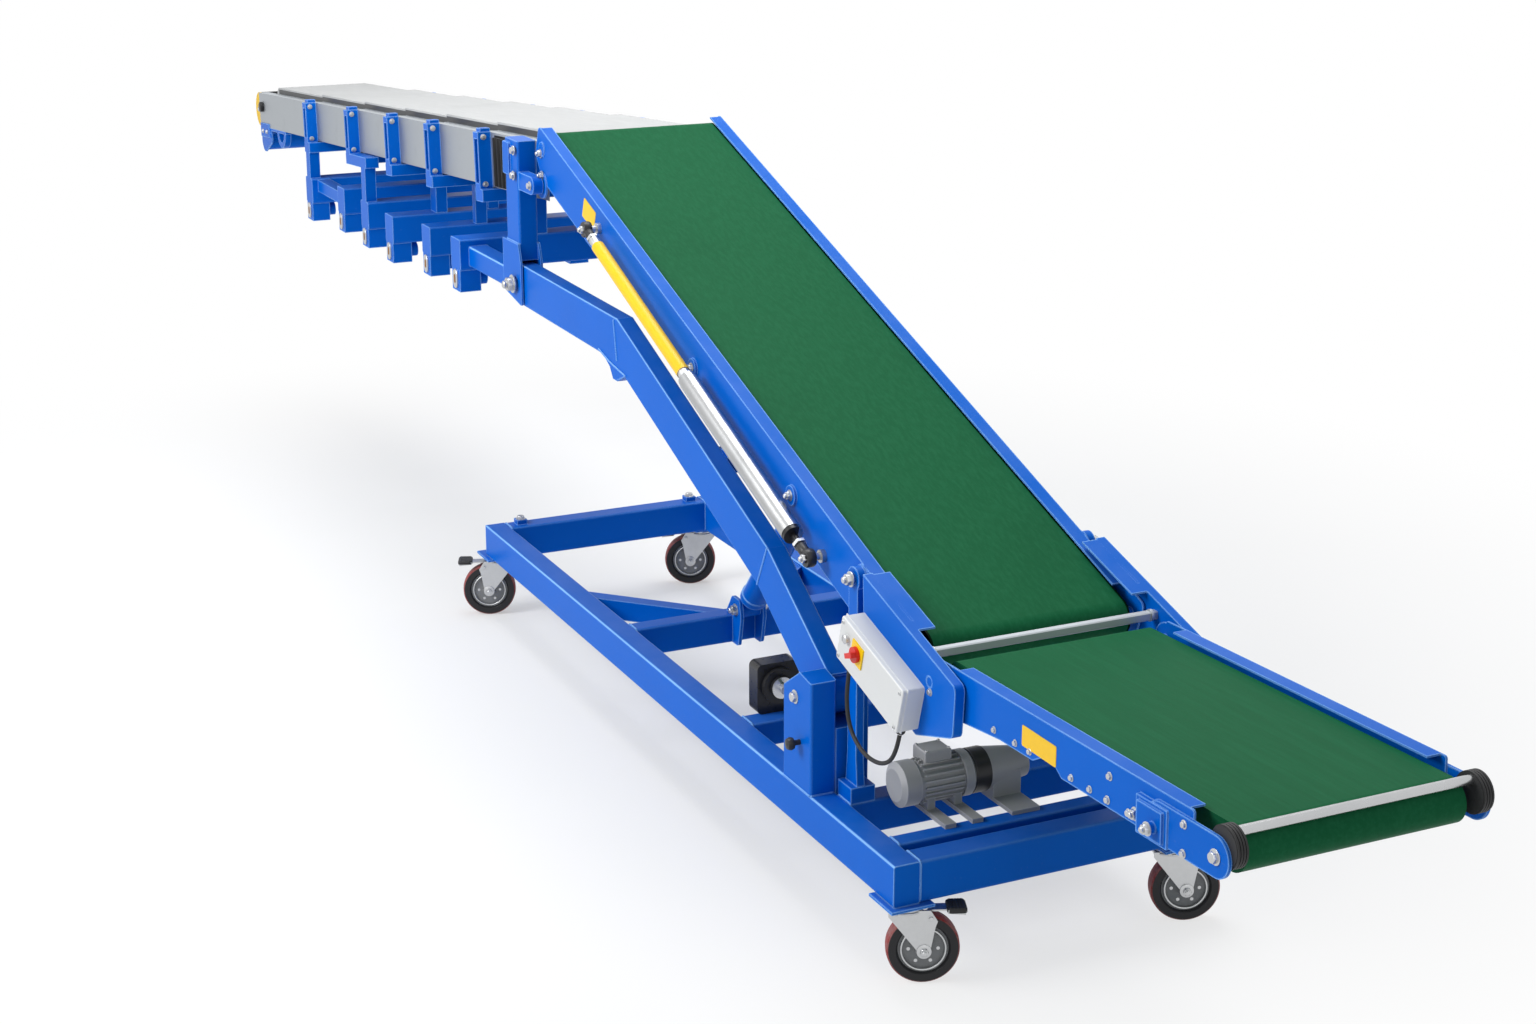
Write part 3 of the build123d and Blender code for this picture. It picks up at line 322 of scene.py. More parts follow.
def belt(name, color, light, rim, streak=0.35, rough=0.5, spec=0.02):
    """Belt: streaks along its run, scuff marks, fine grain, and painted shade where |y| > rim."""
    p = Paint(name)
    run = p.noise(9.0, 6.0, 0.65, stretch=ALONG_RUN)
    fine = p.noise(1400.0, 2.0, 0.6)
    cloud = p.noise(2.2, 3.0, 0.5, seed=5.0)
    marks = p.noise(26.0, 5.0, 0.75, stretch=ALONG_RUN, seed=9.0).step(0.6, 0.72)
    tone = p.blend(run.step(0.35, 0.75) * streak, color, light)
    tone = p.blend(marks * 0.22, tone, light)
    tone = p.blend(cloud.step(0.5, 0.8) * 0.18, tone, times(color, 0.6))
    y = p.axis(1)
    # Painted shade: past rim the belt's edge is darkened for the gap beside the frame.
    tone = p.blend((y * y).step((rim - 0.001) ** 2, rim ** 2), tone, times(color, 0.12))
    rough = rough + run * 0.15 - marks * 0.05
    return p.finish(tone, rough, p.bump(fine + run * 0.5, 0.00015, 0.7), spec=spec)


GREEN, GREEN_LIGHT = (0.008, 0.098, 0.038), (0.022, 0.155, 0.070)
PALE, PALE_LIGHT = (0.47, 0.475, 0.475), (0.60, 0.605, 0.61)
FINISH["green"] = belt("green_belt", GREEN, GREEN_LIGHT, 0.3040, rough=0.34)
FINISH["grey"] = belt("grey_belt", PALE, PALE_LIGHT, 0.3500, rough=0.42)
print("belts: green, grey")

# %% [markdown]
# ## Metal, rubber and plastic
# Aluminium is streaked along its length by the die, zinc has a fine grain and chrome is almost
# even, so one formula with other numbers serves them all. Rubber and moulded covers aren't metal:
# they get a pebbled grain, a little dust and a weak shine.

# %% Metal, rubber and plastic
EVEN = (1, 1, 1)
GREY_DUST = (0.32, 0.32, 0.32)


def metal(name, color, grain, rough, scale=14.0):
    """Plain metal: streaks as long as grain lets them be, stains, and a fine grain."""
    p = Paint(name)
    brush = p.noise(scale, 6.0, 0.7, stretch=grain)
    stain = p.noise(7.0, 4.0, 0.6, seed=2.0)
    tone = p.blend(brush, times(color, 0.82), color)
    tone = p.blend(stain.step(0.55, 0.8) * 0.25, tone, times(color, 0.62))
    rough = rough + brush * 0.16 + stain * 0.1
    return p.finish(tone, rough, p.bump(brush, 0.0001, 0.5), metal=1.0)


def plastic(name, color, rough, spec=0.3):
    """Moulded or rubber surface with a fine pebbled grain and dust on what faces up."""
    p = Paint(name)
    pebble = p.noise(500.0, 3.0, 0.6)
    dust = p.noise(5.0, 3.0, 0.5) * 0.06 + p.facing(2).step(0.3, 1.0) * 0.04
    tone = p.blend(dust, color, GREY_DUST)
    return p.finish(tone, rough + pebble * 0.12, p.bump(pebble, 0.00015, 0.6), spec=spec)


FINISH["alu"] = metal("aluminium", (0.47, 0.50, 0.53), (1, 30, 30), 0.42)
FINISH["zinc"] = metal("zinc", (0.60, 0.61, 0.62), EVEN, 0.24, 60.0)
FINISH["chrome"] = metal("chrome", (0.56, 0.57, 0.58), EVEN, 0.13, 9.0)
FINISH["bronze"] = metal("bronze", (0.36, 0.16, 0.05), EVEN, 0.45, 60.0)
FINISH["black"] = plastic("black", (0.012, 0.012, 0.013), 0.3)
FINISH["rubber"] = plastic("black_rubber", (0.015, 0.015, 0.016), 0.5)
FINISH["roll"] = plastic("roll_black", (0.006, 0.006, 0.007), 0.3, spec=0.06)
print(len(FINISH), "finishes so far")

# %% [markdown]
# ## Caster wheels
# A wheel has a grey cast hub, a black body and a dusty dark red tread. These could be three
# objects, but the wheel is one solid, so the distance from its centre tells the rings apart.

# %% Caster wheels
BODY_R, TREAD_R = (0.0700, 0.0712), (0.0965, 0.0985)


def wheel_finish(name):
    """Rings of colour by the distance from the wheel's centre, |place - centre|."""
    p = Paint(name)
    low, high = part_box(name)
    centre = tuple((a + b) / 2 for a, b in zip(low, high))
    away = p.vector("SUBTRACT", p.place, centre, "Vector")
    reach = p.node("ShaderNodeVectorMath", {0: away}, "Value", operation="LENGTH")
    tread = reach.step(*TREAD_R)
    dust = tread * p.noise(40.0, 4.0, 0.6).step(0.35, 0.65)
    hub = p.blend(p.noise(30.0, 4.0), (0.17, 0.175, 0.18), (0.25, 0.255, 0.26))
    red = p.blend(p.noise(12.0), (0.20, 0.010, 0.012), (0.30, 0.02, 0.02))
    tone = p.blend(reach.step(*BODY_R), hub, (0.018, 0.018, 0.02))
    tone = p.blend(tread, tone, red)
    tone = p.blend(dust * 0.35, tone, (0.34, 0.30, 0.28))
    grain = p.noise(700.0, 2.0)
    return p.finish(tone, 0.4 + dust * 0.3 + grain * 0.08, p.bump(grain, 0.0001, 0.5))


print("wheel rings at", BODY_R, "and", TREAD_R, "m")

# %% [markdown]
# ## Strut
# The strut beside the ramp is a polished barrel with a black lower end, and a yellow tube between
# zinc sleeves. Each half is one solid. The bands of colour are cut by the distance along the
# strut, which is the dot product of the place and the axis, so no edge has to be modelled for
# them. The barrel is a little rough: a perfect mirror would show two flat halves of the room.

# %% Strut
STRUT_Y = -398
STRUT_LOW, STRUT_TOP = (-673, 997), (-2357, 1648)
STRUT_WAY = Vector((STRUT_TOP[0] - STRUT_LOW[0], 0, STRUT_TOP[1] - STRUT_LOW[1])).normalized()
TUBE_FROM, TUBE_TO, CAP_TO = 0.9385, 1.6925, 0.1185


def along_strut(p):
    """Metres from the strut's lower pin: (place - pin) . axis."""
    pin = mm(STRUT_LOW[0], STRUT_Y, STRUT_LOW[1])
    away = p.vector("SUBTRACT", p.place, pin, "Vector")
    return p.vector("DOT_PRODUCT", away, tuple(STRUT_WAY))


def strut_finish(name):
    """Strut rod: a zinc sleeve at the barrel, a yellow tube, and a zinc end."""
    p = Paint(name)
    spot = along_strut(p)
    tube = spot.step(TUBE_FROM, TUBE_FROM + 0.001) * (1 - spot.step(TUBE_TO, TUBE_TO + 0.001))
    cloud = p.noise(30.0, 4.0, 0.7)
    yellow = p.blend(cloud, (0.78, 0.46, 0.0), (0.90, 0.56, 0.01))
    steel = p.blend(cloud, (0.48, 0.49, 0.50), (0.66, 0.67, 0.68))
    knurl = p.bump(p.noise(380.0, 2.0, 0.5) * tube, 0.0006, 0.8)
    return p.finish(p.blend(tube, steel, yellow), 0.28 + cloud * 0.2, knurl, metal=1 - tube)


def barrel_finish(name):
    """Strut barrel: polished tube, with a black cap, shank and eye, but not the zinc stud."""
    p = Paint(name)
    stud_side = p.axis(1).step(-0.3845, -0.3835)
    cap = (1 - along_strut(p).step(CAP_TO, CAP_TO + 0.001)) * (1 - stud_side)
    cloud = p.noise(9.0, 5.0, 0.6)
    tone = p.blend(cloud, (0.37, 0.38, 0.39), (0.52, 0.525, 0.53))
    black = p.blend(cloud, (0.006, 0.006, 0.007), (0.02, 0.02, 0.022))
    grain = p.bump(p.noise(300.0), 0.00006, 0.5)
    return p.finish(p.blend(cap, tone, black), 0.27 + cloud * 0.08, grain, metal=1 - cap)


print("strut runs along", [round(v, 3) for v in STRUT_WAY])

# %% [markdown]
# ## Two-colour parts and labels
# The boom's tip has yellow discs on a black roller, the switch a red handle on a yellow plate, and
# the crank's black housing a zinc handle. A step on one coordinate parts their colours, as no
# finer mask is needed. The labels are blank film: a print's wear shows, but no print.

# %% Two-colour parts and labels
TIP_DISC_Y, HANDLE_Y = 0.2585, 0.4541
HOUSING_L = 0.088


def tip_finish(name):
    """Boom tip: yellow where |y| is past the discs' inner faces, and black rubber between."""
    p = Paint(name)
    y = p.axis(1)
    disc = (y * y).step(TIP_DISC_Y ** 2, (TIP_DISC_Y + 0.001) ** 2)
    cloud = p.noise(24.0, 4.0, 0.6)
    yellow = p.blend(cloud, (0.72, 0.44, 0.0), (0.86, 0.54, 0.01))
    black = p.blend(cloud, (0.015, 0.015, 0.016), (0.05, 0.05, 0.05))
    grain = p.bump(p.noise(500.0), 0.0002, 0.5)
    return p.finish(p.blend(disc, black, yellow), 0.36 + cloud * 0.2, grain)


def switch_finish(name):
    """Rotary switch: yellow plate, with a red collar and handle in front of it."""
    p = Paint(name)
    handle = (p.axis(1) * -1.0).step(HANDLE_Y, HANDLE_Y + 0.0002)
    cloud = p.noise(90.0, 3.0)
    yellow = p.blend(cloud, (0.80, 0.52, 0.0), (0.88, 0.58, 0.01))
    red = p.blend(cloud, (0.55, 0.01, 0.006), (0.66, 0.02, 0.01))
    grain = p.bump(p.noise(800.0), 0.0001, 0.4)
    return p.finish(p.blend(handle, yellow, red), 0.28 + cloud * 0.12, grain)


def crank_finish(name):
    """Black switch housing, and its zinc crank past the housing's length."""
    p = Paint(name)
    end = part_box(name)[0][0] + HOUSING_L
    steel = p.axis(0).step(end, end + 0.001)
    cloud = p.noise(50.0, 4.0, 0.6)
    black = p.blend(cloud, (0.012, 0.012, 0.013), (0.04, 0.04, 0.042))
    tone = p.blend(steel, black, (0.68, 0.69, 0.70))
    return p.finish(tone, 0.22 + cloud * 0.15, p.bump(p.noise(420.0), 0.00015, 0.6), metal=steel)


def label_finish(name):
    """Blank yellow film with a cloudy tone and a few worn spots."""
    p = Paint(name)
    cloud = p.noise(60.0, 4.0, 0.6)
    tone = p.blend(cloud, (0.78, 0.46, 0.004), (0.88, 0.54, 0.008))
    worn = p.noise(220.0, 4.0, 0.7).step(0.66, 0.74) * 0.3
    tone = p.blend(worn, tone, (0.5, 0.34, 0.05))
    return p.finish(tone, 0.3 + cloud * 0.2, p.bump(cloud, 0.0003, 0.4))


FINISH["label"] = label_finish("label_yellow")
print("finishes:", sorted(FINISH))

# %% [markdown]
# ## Dressing the solids
# Each solid's record names its material. Most take a shared finish by that name, and a few that
# show two colours get one of their own. Setting all the slots of an object by a loop is safer than
# naming them, since a solid may come with any number of them.

# %% Dressing the solids
BY_NODE = {
    "strut_rod": strut_finish, "strut_barrel": barrel_finish, "boom_tip": tip_finish,
    "rotary_switch": switch_finish, "crank_housing": crank_finish,
}
BY_SLOT = {
    "blue_paint": "blue", "green_belt": "green", "grey_belt": "grey", "aluminium": "alu",
    "zinc": "zinc", "chrome": "chrome", "motor_grey": "motor", "box_grey": "box",
    "black": "black", "black_rubber": "rubber", "yellow": "yellow",
}


def dress(obj, material):
    """Puts one material in every slot of an object."""
    if not obj.data.materials:
        obj.data.materials.append(material)
    for i in range(len(obj.data.materials)):
        obj.data.materials[i] = material


for part in frame["record"]["subparts"]:
    name, slot = part["node"], part["material_slot"]
    make = wheel_finish if slot == "wheel_red" else BY_NODE.get(name)
    dress(NODES[name], make(name) if make else FINISH[BY_SLOT[slot]])
print(len(bpy.data.materials), "materials on", len(NODES), "solids")

# %% [markdown]
# ## Cable
# A black control cable hangs in a loop between the two glands under the control box. A physics run
# could let it hang, but the loop is short, stiff and seen from end to end, so it is one smooth
# NURBS curve through the route that the photograph shows. The curve's bevel gives it its thickness.

# %% Cable
CABLE_Y, CABLE_L, CABLE_D = -417.5, 0.541, 0.012
ROUTE = [
    (-380.6, 773.9), (-401.2, 701.8), (-384.6, 599.9), (-300.6, 551.9),
    (-190.6, 559.9), (-114.2, 614.3), (-92.2, 691.2),
]


def make_cable():
    """Round cable on one quadratic NURBS curve, whose control points are the route."""
    data = bpy.data.curves.new("cable_loop", "CURVE")
    data.dimensions = "3D"
    data.bevel_depth = CABLE_D / 2
    data.bevel_resolution = 6
    data.resolution_u = 24
    line = data.splines.new("NURBS")
    line.points.add(len(ROUTE) - 1)
    for point, (x, z) in zip(line.points, ROUTE):
        point.co = mm(x, CABLE_Y, z) + (1.0,)
    line.order_u = 3
    line.use_endpoint_u = True
    cable = bpy.data.objects.new("cable_loop", data)
    bpy.context.collection.objects.link(cable)
    cable.data.materials.append(FINISH["rubber"])
    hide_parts("control_cable")
    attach(cable, "incline")
    mm(ROUTE[0][0], CABLE_Y, ROUTE[0][1])


make_cable()
print("cable loop", CABLE_L, "m long,", CABLE_D, "m thick")

# %% [markdown]
# ## Surfaces from formulas
# Small hardware is turned, cut from plate or bent into rings. Blender's own primitives could be
# scaled and joined, but a grid of points from a formula gives the exact profile in a few lines:
# one direction runs along the profile, and the other turns about an axis.

# %% Surfaces from formulas
def grid_faces(rows, cols):
    """Quads between neighbours of a grid, whose last column joins the first."""
    i, j = np.meshgrid(np.arange(rows - 1), np.arange(cols), indexing="ij")
    k = (j + 1) % cols
    corners = [i * cols + j, i * cols + k, (i + 1) * cols + k, (i + 1) * cols + j]
    return np.stack(corners, -1).reshape(-1, 4)


def turned(profile, sides=32, hexes=None):
    """Profile of (radius, height) turned about Z.

    x = r(t) h(a) cos a, y = r(t) h(a) sin a, z = z(t), where h(a) = cos 30 / cos((a mod 60) - 30)
    on the rows marked as hexagonal and 1 elsewhere, so that r is the hexagon's corner radius.
    """
    profile = np.array(profile, float)
    a = np.linspace(0, 2 * np.pi, sides, endpoint=False)
    hexagon = np.cos(np.pi / 6) / np.cos(np.mod(a, np.pi / 3) - np.pi / 6)
    mark = np.zeros(len(profile)) if hexes is None else np.array(hexes, float)
    reach = profile[:, :1] * (1 + mark[:, None] * (hexagon[None, :] - 1))
    height = np.repeat(profile[:, 1:], sides, 1)
    points = np.stack([reach * np.cos(a), reach * np.sin(a), height], -1)
    return points.reshape(-1, 3), grid_faces(len(profile), sides)


def torus(big, small, sides=40, ring=12):
    """Ring about Z: x = (R + r cos b) cos a, y = (R + r cos b) sin a, z = r sin b."""
    b = np.linspace(0, 2 * np.pi, ring + 1)
    return turned(np.stack([big + small * np.cos(b), small * np.sin(b)], -1), sides)


def slab(w, h, t, r, corner=5, edge=0.0):
    """Rounded rectangle w by h, t thick, corners of radius r, centred on its back face.

    The outline is the rectangle shrunk by r plus a circle of radius r; edge rounds the front rim.
    """
    count = 4 * (corner + 1)
    a = np.linspace(0, 2 * np.pi, count, endpoint=False) + np.pi / count
    middle = np.stack([np.sign(np.cos(a)) * (w / 2 - r), np.sign(np.sin(a)) * (h / 2 - r)], -1)
    circle = np.stack([np.cos(a), np.sin(a)], -1)
    rim = [(r, t - edge), (r - edge, t)] if edge else [(r, t)]
    rings = [(middle + radius * circle, z) for radius, z in [(r, 0.0)] + rim]
    rings.append((0 * circle, t))
    points = [np.column_stack([flat, np.full(count, z)]) for flat, z in rings]
    return np.concatenate(points), grid_faces(len(rings), count)


points, faces = turned([(0.02, 0.0), (0.02, 0.01), (0.0, 0.01)])
print("a turned disc has", len(points), "points and", len(faces), "faces")

# %% [markdown]
# ## Placing and joining
# A machine has hundreds of like bolts. Each could be an object of its own. Here copies are placed
# by a matrix and joined into one mesh for each moving body, because a body's hardware moves as
# one, and a scene with few objects stays quick.

# %% Placing and joining
SHARP = math.radians(40)


def placed(shape, at, axis=(0, 0, 1), spin=0.0, up=None):
    """The shape with its Z along axis at a point, turned by spin about it, or with Y along up."""
    points, faces = shape
    z = Vector(axis).normalized()
    if up is not None:
        y = Vector(up).normalized()
        turn = Matrix((y.cross(z), y, z)).transposed()
    else:
        turn = z.to_track_quat("Z", "Y").to_matrix()
    turn = turn @ Matrix.Rotation(spin, 3, "Z")
    return points @ np.array(turn).T + np.array(at), faces


def piece(name, shapes, body, finish):
    """One mesh from many placed shapes, riding on a body and wearing a finish."""
    starts = np.cumsum([0] + [len(points) for points, _ in shapes[:-1]])
    points = np.concatenate([points for points, _ in shapes])
    faces = np.concatenate([faces + start for (_, faces), start in zip(shapes, starts)])
    mesh = bpy.data.meshes.new(name)
    mesh.vertices.add(len(points))
    mesh.vertices.foreach_set("co", points.astype(np.float32).ravel())
    mesh.loops.add(faces.size)
    mesh.loops.foreach_set("vertex_index", faces.astype(np.int32).ravel())
    mesh.polygons.add(len(faces))
    mesh.polygons.foreach_set("loop_start", np.arange(0, faces.size, 4, dtype=np.int32))
    mesh.polygons.foreach_set("loop_total", np.full(len(faces), 4, dtype=np.int32))
    mesh.update(calc_edges=True)
    mesh.validate()
    mesh.shade_smooth()
    mesh.set_sharp_from_angle(angle=SHARP)
    obj = bpy.data.objects.new(name, mesh)
    bpy.context.collection.objects.link(obj)
    mesh.materials.append(FINISH[finish])
    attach(obj, body)
    print(f"{name}: {len(shapes)} shapes, {len(faces)} faces on {body}")


print("edges stay sharp past", round(math.degrees(SHARP)), "degrees")

# %% [markdown]
# ## Fasteners and welds
# Bolts, nuts and screws are turned profiles, with the rows of the head hexagonal. Threads and
# sockets could be cut as helices, but they would cost faces that nobody sees at this size. A weld
# is a bead carried along a line, whose radius ripples as the welder's hand does.

# %% Fasteners and welds
def bolt(r):
    """Washer and hexagon head with a chamfered top; r is the corner radius in metres."""
    rows = [(1.35, 0), (1.35, 0.14), (1.28, 0.18), (1.0, 0.18)]
    rows += [(1.0, 0.78), (0.84, 0.9), (0.5, 0.94), (0, 0.94)]
    return turned(np.array(rows) * r, 24, [0, 0, 0, 1, 1, 0, 0, 0])


def stud(r):
    """Nut on a threaded end that stands out of it; r is the nut's corner radius in metres."""
    rows = [(1.3, 0), (1.3, 0.15), (1.0, 0.17), (1.0, 0.85), (0.85, 0.97)]
    rows += [(0.55, 0.97), (0.55, 1.4), (0.45, 1.5), (0, 1.5)]
    return turned(np.array(rows) * r, 24, [0, 0, 1, 1, 0, 0, 0, 0, 0])


def screw(r):
    """Pan head with a hexagonal socket; r is the head's radius in metres."""
    rows = [(1.0, 0), (1.0, 0.3), (0.8, 0.6), (0.5, 0.66), (0.45, 0.66), (0.42, 0.3), (0, 0.3)]
    return turned(np.array(rows) * r, 20, [0, 0, 0, 0, 1, 1, 1])


def bead(points, r=0.0035):
    """Weld bead along a line, half sunk in the metal: radius r (1 + 0.18 sin(2 pi s / 1.6 r))."""
    points = np.array(points, float)
    runs = np.linalg.norm(np.diff(points, axis=0), axis=1)
    total = np.concatenate([[0], np.cumsum(runs)])
    s = np.arange(0, total[-1], r * 0.8)
    line = np.stack([np.interp(s, total, points[:, k]) for k in range(3)], -1)
    go = np.gradient(line, axis=0)
    go /= np.linalg.norm(go, axis=1, keepdims=True)
    side = np.cross(go, [0.31, 0.52, 0.79])
    side /= np.linalg.norm(side, axis=1, keepdims=True)
    rise = np.cross(go, side)
    a = np.linspace(0, 2 * np.pi, 8, endpoint=False)
    size = r * (1 + 0.18 * np.sin(2 * np.pi * s / (1.6 * r)))
    size[0] = size[-1] = 1e-5
    ring = side[:, None] * np.cos(a)[None, :, None] + rise[:, None] * np.sin(a)[None, :, None]
    points = line[:, None] + ring * size[:, None, None]
    return points.reshape(-1, 3), grid_faces(len(s), 8)


print("faces of a bolt, a stud and a screw:", [len(make(1)[1]) for make in (bolt, stud, screw)])

# %% [markdown]
# ## Incline and infeed
# Nuts on threaded ends hold the strut and the hinges, and small bolts hold the infeed's bearings.
# A mirror modifier could make the far side, but each place is simply written once, with its
# millimetres, and given to both sides.

# %% Incline and infeed
def sides(points):
    """Each (x, y, z) in mm on the near side, then its mirror on the far one, with outward axes."""
    near = [(mm(x, -y, z), (0, -1, 0)) for x, y, z in points]
    far = [(mm(x, y, z), (0, 1, 0)) for x, y, z in points]
    return near + far


def fasteners(table):
    """Mirrored fasteners from rows of a maker, a radius in mm and the places."""
    return [placed(make(r / 1000), at, axis, spin=0.3 * i)
            for make, r, points in table for i, (at, axis) in enumerate(sides(points))]


INCLINE_BOLTS = [  # maker, radius, places
    (stud, 13, [(-1578, 358, 1340), (-877, 358, 1119), (-2911, 352, 1824), (-2896, 354, 1747)]),
    (bolt, 8, [(6, 385, 835)]),
    (stud, 17, [(-439, 387, 1005)]),
]
INFEED_BOLTS = [
    (bolt, 7, [(270, 350, 823), (371, 350, 826), (438, 350, 829), (625, 350, 834),
               (705, 350, 837)]),
    (bolt, 8, [(779, 350, 840), (785, 350, 901), (1089, 358, 909), (866, 350, 843)]),
    (bolt, 8, [(1090, 358, 840)]),
    (bolt, 14, [(1206, 358, 882)]),
    (stud, 13, [(893, 350, 852), (988, 384, 862)]),
]
piece("incline_bolts", fasteners(INCLINE_BOLTS), "incline", "zinc")
piece("infeed_bolts", fasteners(INFEED_BOLTS), "infeed", "zinc")

# %% [markdown]
# ## Boom brackets
# Each section of the boom ends in a blue bracket, bolted from behind and from the side. The boom
# slopes, so its hardware is placed in the boom's own directions: along it, across and above its
# belt. One loop serves five sections, because each is 5 mm narrower a side and 7 mm lower than the
# one before. The base's cheeks also carry the pins at the arms' heads.

# %% Boom brackets
TILT = math.radians(3.85)
BOOM_GO = (-math.cos(TILT), 0, -math.sin(TILT))
BOOM_BACK = tuple(-c for c in BOOM_GO)
BOOM_UP = (-math.sin(TILT), 0, math.cos(TILT))
BOOM_X, BOOM_Z = -2990, 1880
MOUTHS = [672, 1319, 1907, 2551, 3298, 4400]
STEP_IN, STEP_DOWN = 5, 7
CHEEK_BOLTS = [
    (bolt, 13, [(-3043, 408, 1820), (-3048, 408, 1729)]),
    (stud, 26, [(-3056, 418, 1332)]),
    (bolt, 12, [(-2905, 398, 1712)]),
]


def on_boom(d, y, n):
    """Point d mm along the boom, y across and n above its belt: origin + d go + n up."""
    x = BOOM_X - d * math.cos(TILT) - n * math.sin(TILT)
    z = BOOM_Z - d * math.sin(TILT) + n * math.cos(TILT)
    return mm(x, y, z)


def stage_body(k):
    """Name of the body that carries section k."""
    return "boom_base" if k == 0 else f"boom_stage_{k}"


for k in range(5):
    half, top, mouth = 300 - STEP_IN * k, -STEP_DOWN * k, MOUTHS[k]
    shapes = []
    for sign in (-1, 1):
        for rear_n, side_n in ((top - 50, top - 58), (-230, -220)):
            rear = on_boom(mouth - 55, sign * (half + 30), rear_n)
            shapes.append(placed(bolt(0.0085), rear, BOOM_BACK))
            side = on_boom(mouth - 27, sign * (half + 18), side_n)
            shapes.append(placed(bolt(0.0075), side, (0, sign, 0)))
    if k == 0:
        shapes += fasteners(CHEEK_BOLTS)
    piece(f"{stage_body(k)}_bolts", shapes, stage_body(k), "zinc")

# %% [markdown]
# ## Beam ends
# The cross beams under the boom end in rounded zinc plates with a brown slot. A slot could be cut
# with a Boolean. A thin plate in a darker metal shows the same at a few faces, since it is only
# 15 mm wide.

# %% Beam ends
BEAM_MID_X, BEAM_MID_Z = 55, -158
BEAMS = [  # section, mm ahead of its mouth, mm ahead where its height is taken, drop, half length
    (0, -43, -43, 431, 440), (1, -70, -70, 457, 347), (2, -27, -27, 464, 342),
    (3, 225, 225, 441, 337), (4, 6, 6, 413, 332), (4, 567, 6, 375, 332),
]
for i, (k, ahead, level, drop, reach) in enumerate(BEAMS):
    run = MOUTHS[k] * math.cos(TILT)
    x = BOOM_X - run + ahead + BEAM_MID_X
    z = BOOM_Z - (run - level) * math.tan(TILT) - drop + BEAM_MID_Z
    cap, slot = slab(0.047, 0.075, 0.0065, 0.023, edge=0.0015), slab(0.015, 0.034, 0.0010, 0.007)
    for name, shape, out, finish in (("cap", cap, 0, "zinc"), ("slot", slot, 6.3, "bronze")):
        ends = [placed(shape, mm(x, sign * (reach + out), z), (0, sign, 0), up=(0, 0, 1))
                for sign in (-1, 1)]
        piece(f"beam_{name}_{i}", ends, stage_body(k), finish)

# %% [markdown]
# ## Belt edges of the boom
# Beside the pale belt a light lip runs along each section's tray, above a black plate that is
# painted shade for the dark gap. They could be edges in CAD, but at 1 to 2 mm thick they are trim,
# so they are thin plates laid on its side.

# %% Belt edges of the boom
def boom_plate(w, h, t, r, d, y, n):
    """Rounded plate in mm on the side of the boom, facing out, w along it and h up."""
    axis = (0, math.copysign(1, y), 0)
    return placed(slab(w / 1000, h / 1000, t / 1000, r / 1000), on_boom(d, y, n), axis, up=BOOM_UP)


EDGE_FROM, TIP_L = 60, 240
for k, mouth in enumerate(MOUTHS):
    tray, top = 250 - STEP_IN * k, -STEP_DOWN * k
    length = mouth - (TIP_L if k == 5 else 0) - EDGE_FROM
    mid = EDGE_FROM + length / 2
    light = [boom_plate(length, 7, 2, 3, mid, sign * tray, top - 4) for sign in (-1, 1)]
    # Painted shade: a black plate under the lip stands for the dark gap beside the belt.
    gap_shade = [boom_plate(length, 22, 1, 1, mid, sign * tray, top - 20) for sign in (-1, 1)]
    piece(f"belt_edge_{k}", light, stage_body(k), "grey")
    piece(f"belt_shadow_{k}", gap_shade, stage_body(k), "black")

# %% [markdown]
# ## Guide rolls and tip
# The mouth of the base section shows a row of black guide rolls on a dark plate, and the tip has
# black hubs and bolts. From a step away the rolls look like a bellows, which names the piece. They
# could be one ribbed plate, but turned cylinders with a small chamfer catch the light as rolls do.

# %% Guide rolls and tip
ROLL = [(0.0, -0.092), (0.019, -0.092), (0.021, -0.088)]
ROLL += [(0.021, 0.088), (0.019, 0.092), (0.0, 0.092)]
ROLLS, ROLL_PITCH = 9, 42
shapes = []
for sign in (-1, 1):
    shapes.append(boom_plate(400, 196, 1, 4, 372, sign * 300, -140))
    for i in range(ROLLS):
        spot = on_boom(200 + ROLL_PITCH * i, sign * 300, -140)
        shapes.append(placed(turned(ROLL, 20), spot, BOOM_UP))
piece("bellows", shapes, "boom_base", "roll")

TIP_BOLTS = [(0.009, 4250, 281, -262), (0.009, 4330, 281, -262), (0.012, 4394, 275, -154)]
shapes = [placed(bolt(r), on_boom(d, sign * y, n), (0, sign, 0))
          for sign in (-1, 1) for r, d, y, n in TIP_BOLTS]
piece("tip_bolts", shapes, "boom_stage_5", "zinc")

HUB = [(0.0, 0.0), (0.024, 0.0), (0.026, 0.003), (0.026, 0.015)]
HUB += [(0.020, 0.019), (0.008, 0.020), (0.0, 0.020)]
hubs = [placed(turned(HUB), on_boom(4330, sign * 275, -138), (0, sign, 0)) for sign in (-1, 1)]
piece("tip_hubs", hubs, "boom_stage_5", "black")

# %% [markdown]
# ## Chassis and arms
# Bolts hold the arms' feet and the caster plates, nuts hold the lifting cylinder's pins, and a
# black knob locks the arm. They could be snapped to the solids by hand. Their places are typed in
# the drawing's millimetres instead, so that each sits on the plate that it holds.

